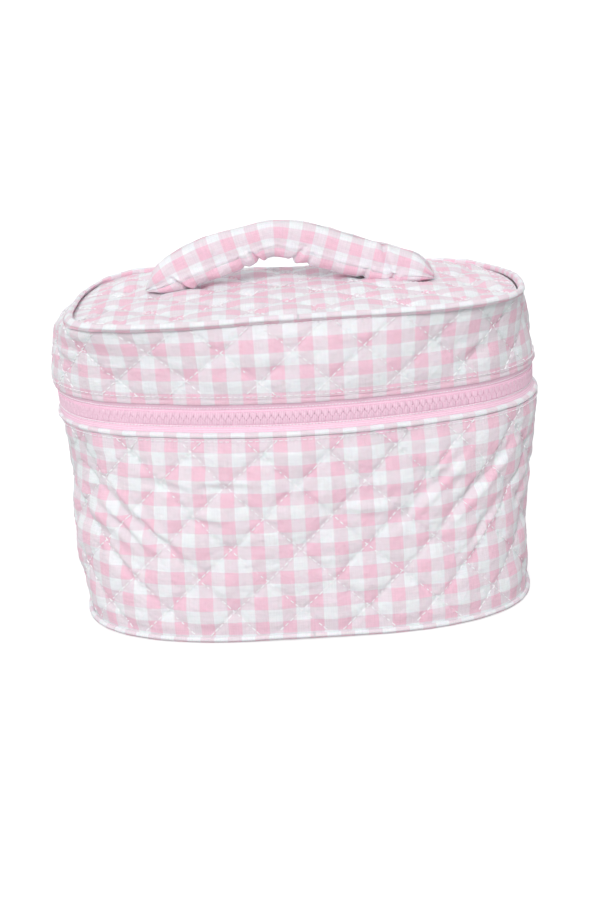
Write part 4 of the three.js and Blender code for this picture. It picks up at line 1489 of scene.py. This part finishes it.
# %% Floor
def make_floor():
    mesh = bpy.data.meshes.new("Floor")
    size = 60.0
    corners = [(-size, -size, 0), (size, -size, 0), (size, size, 0), (-size, size, 0)]
    mesh.from_pydata(corners, [], [(0, 1, 2, 3)])
    floor = bpy.data.objects.new("Floor", mesh)
    bpy.context.scene.collection.objects.link(floor)
    material, tree, shader = base_material("Studio floor", 0.9)
    place = tree.add("ShaderNodeTexCoord").outputs["Object"]
    noise_values = {"Vector": place, "Scale": 40.0, "Detail": 2.0}
    grain = tree.add("ShaderNodeTexNoise", noise_values).outputs[0]
    grey = tree.blend(grain, srgb(188, 188, 188), srgb(192, 192, 192))
    tree.tree.links.new(grey, shader.inputs["Base Color"])
    seen = tree.add("ShaderNodeLightPath").outputs["Is Camera Ray"]
    tree.tree.links.new(tree.maths("MULTIPLY", seen, 0.62), shader.inputs["Emission Strength"])
    shader.inputs["Emission Color"].default_value = (1, 1, 1, 1)
    mesh.materials.append(material)
    print("floor", 2 * size, "m wide")


make_floor()

# %% [markdown]
# ## Light
# Soft daylight falls from the front left, and a bright white room fills its shadows. A sun that
# looks 24 degrees wide gives the daylight, because its shadows are soft and its strength is the
# same all over the bag. The room is the world's colour, a little brighter behind the bag.

# %% Light
def soft_sun(name, azimuth, elevation, strength, spread):
    """An even light from far off; spread is how wide it looks, which softens its shadows."""
    data = bpy.data.lights.new(name, "SUN")
    data.energy = strength
    data.angle = math.radians(spread)
    lamp = bpy.data.objects.new(name, data)
    turn, height = math.radians(azimuth), math.radians(elevation)
    way = (
        math.sin(turn) * math.cos(height),
        -math.cos(turn) * math.cos(height),
        math.sin(height),
    )
    lamp.rotation_euler = Vector(way).to_track_quat("Z", "Y").to_euler()
    bpy.context.scene.collection.objects.link(lamp)


soft_sun("Key", -14, 33, 1.85, 24)

world = bpy.data.worlds.new("Studio")
bpy.context.scene.world = world
world.use_nodes = True
sky = Tree(world.node_tree)
backdrop = sky.add("ShaderNodeLightPath").outputs["Is Camera Ray"]
# The room is brighter behind the bag, so that its back is not left in the dark.
view = sky.add("ShaderNodeTexCoord").outputs["Generated"]
behind = sky.add("ShaderNodeSeparateXYZ", {0: view}).outputs[1]
fill = sky.maths("ADD", 0.6, sky.maths("MULTIPLY", sky.maths("MAXIMUM", behind, 0.0), 0.5))
shine = sky.maths("MAXIMUM", fill, backdrop)
background = world.node_tree.nodes["Background"]
background.inputs[0].default_value = (0.98, 0.99, 1, 1)
world.node_tree.links.new(shine, background.inputs[1])
bpy.context.scene.view_settings.view_transform = "Standard"
print("lights", [item.name for item in bpy.data.lights], "world", world.name)

# %% [markdown]
# ## Camera
# The bag is seen from a little above, nearly from the front, through a moderate lens from
# three quarters of a metre away. The camera is placed by two angles and a distance from the
# point it aims at, which is easier to adjust than its coordinates, and it is tilted a little.

# %% Camera
AIM = Vector((0, 0, 73.6 * MM))
DISTANCE = 739 * MM
AZIMUTH, ELEVATION, ROLL = (math.radians(a) for a in (-0.97, 17.46, 3.0))
back = Vector((
    math.sin(AZIMUTH) * math.cos(ELEVATION),
    -math.cos(AZIMUTH) * math.cos(ELEVATION),
    math.sin(ELEVATION),
))
right = Vector((math.cos(AZIMUTH), math.sin(AZIMUTH), 0))
up = back.cross(right)
camera_data = bpy.data.cameras.new("Camera")
camera_data.lens = 60
camera_data.sensor_width = 36
camera_data.shift_x = -0.0032
camera_data.shift_y = -0.0066
camera = bpy.data.objects.new("Camera", camera_data)
axes = Matrix((
    right * math.cos(ROLL) - up * math.sin(ROLL),
    right * math.sin(ROLL) + up * math.cos(ROLL),
    back,
)).transposed()
camera.matrix_world = Matrix.Translation(AIM + back * DISTANCE) @ axes.to_4x4()
bpy.context.scene.collection.objects.link(camera)
bpy.context.scene.camera = camera
print("camera at", [round(c, 3) for c in camera.matrix_world.translation])
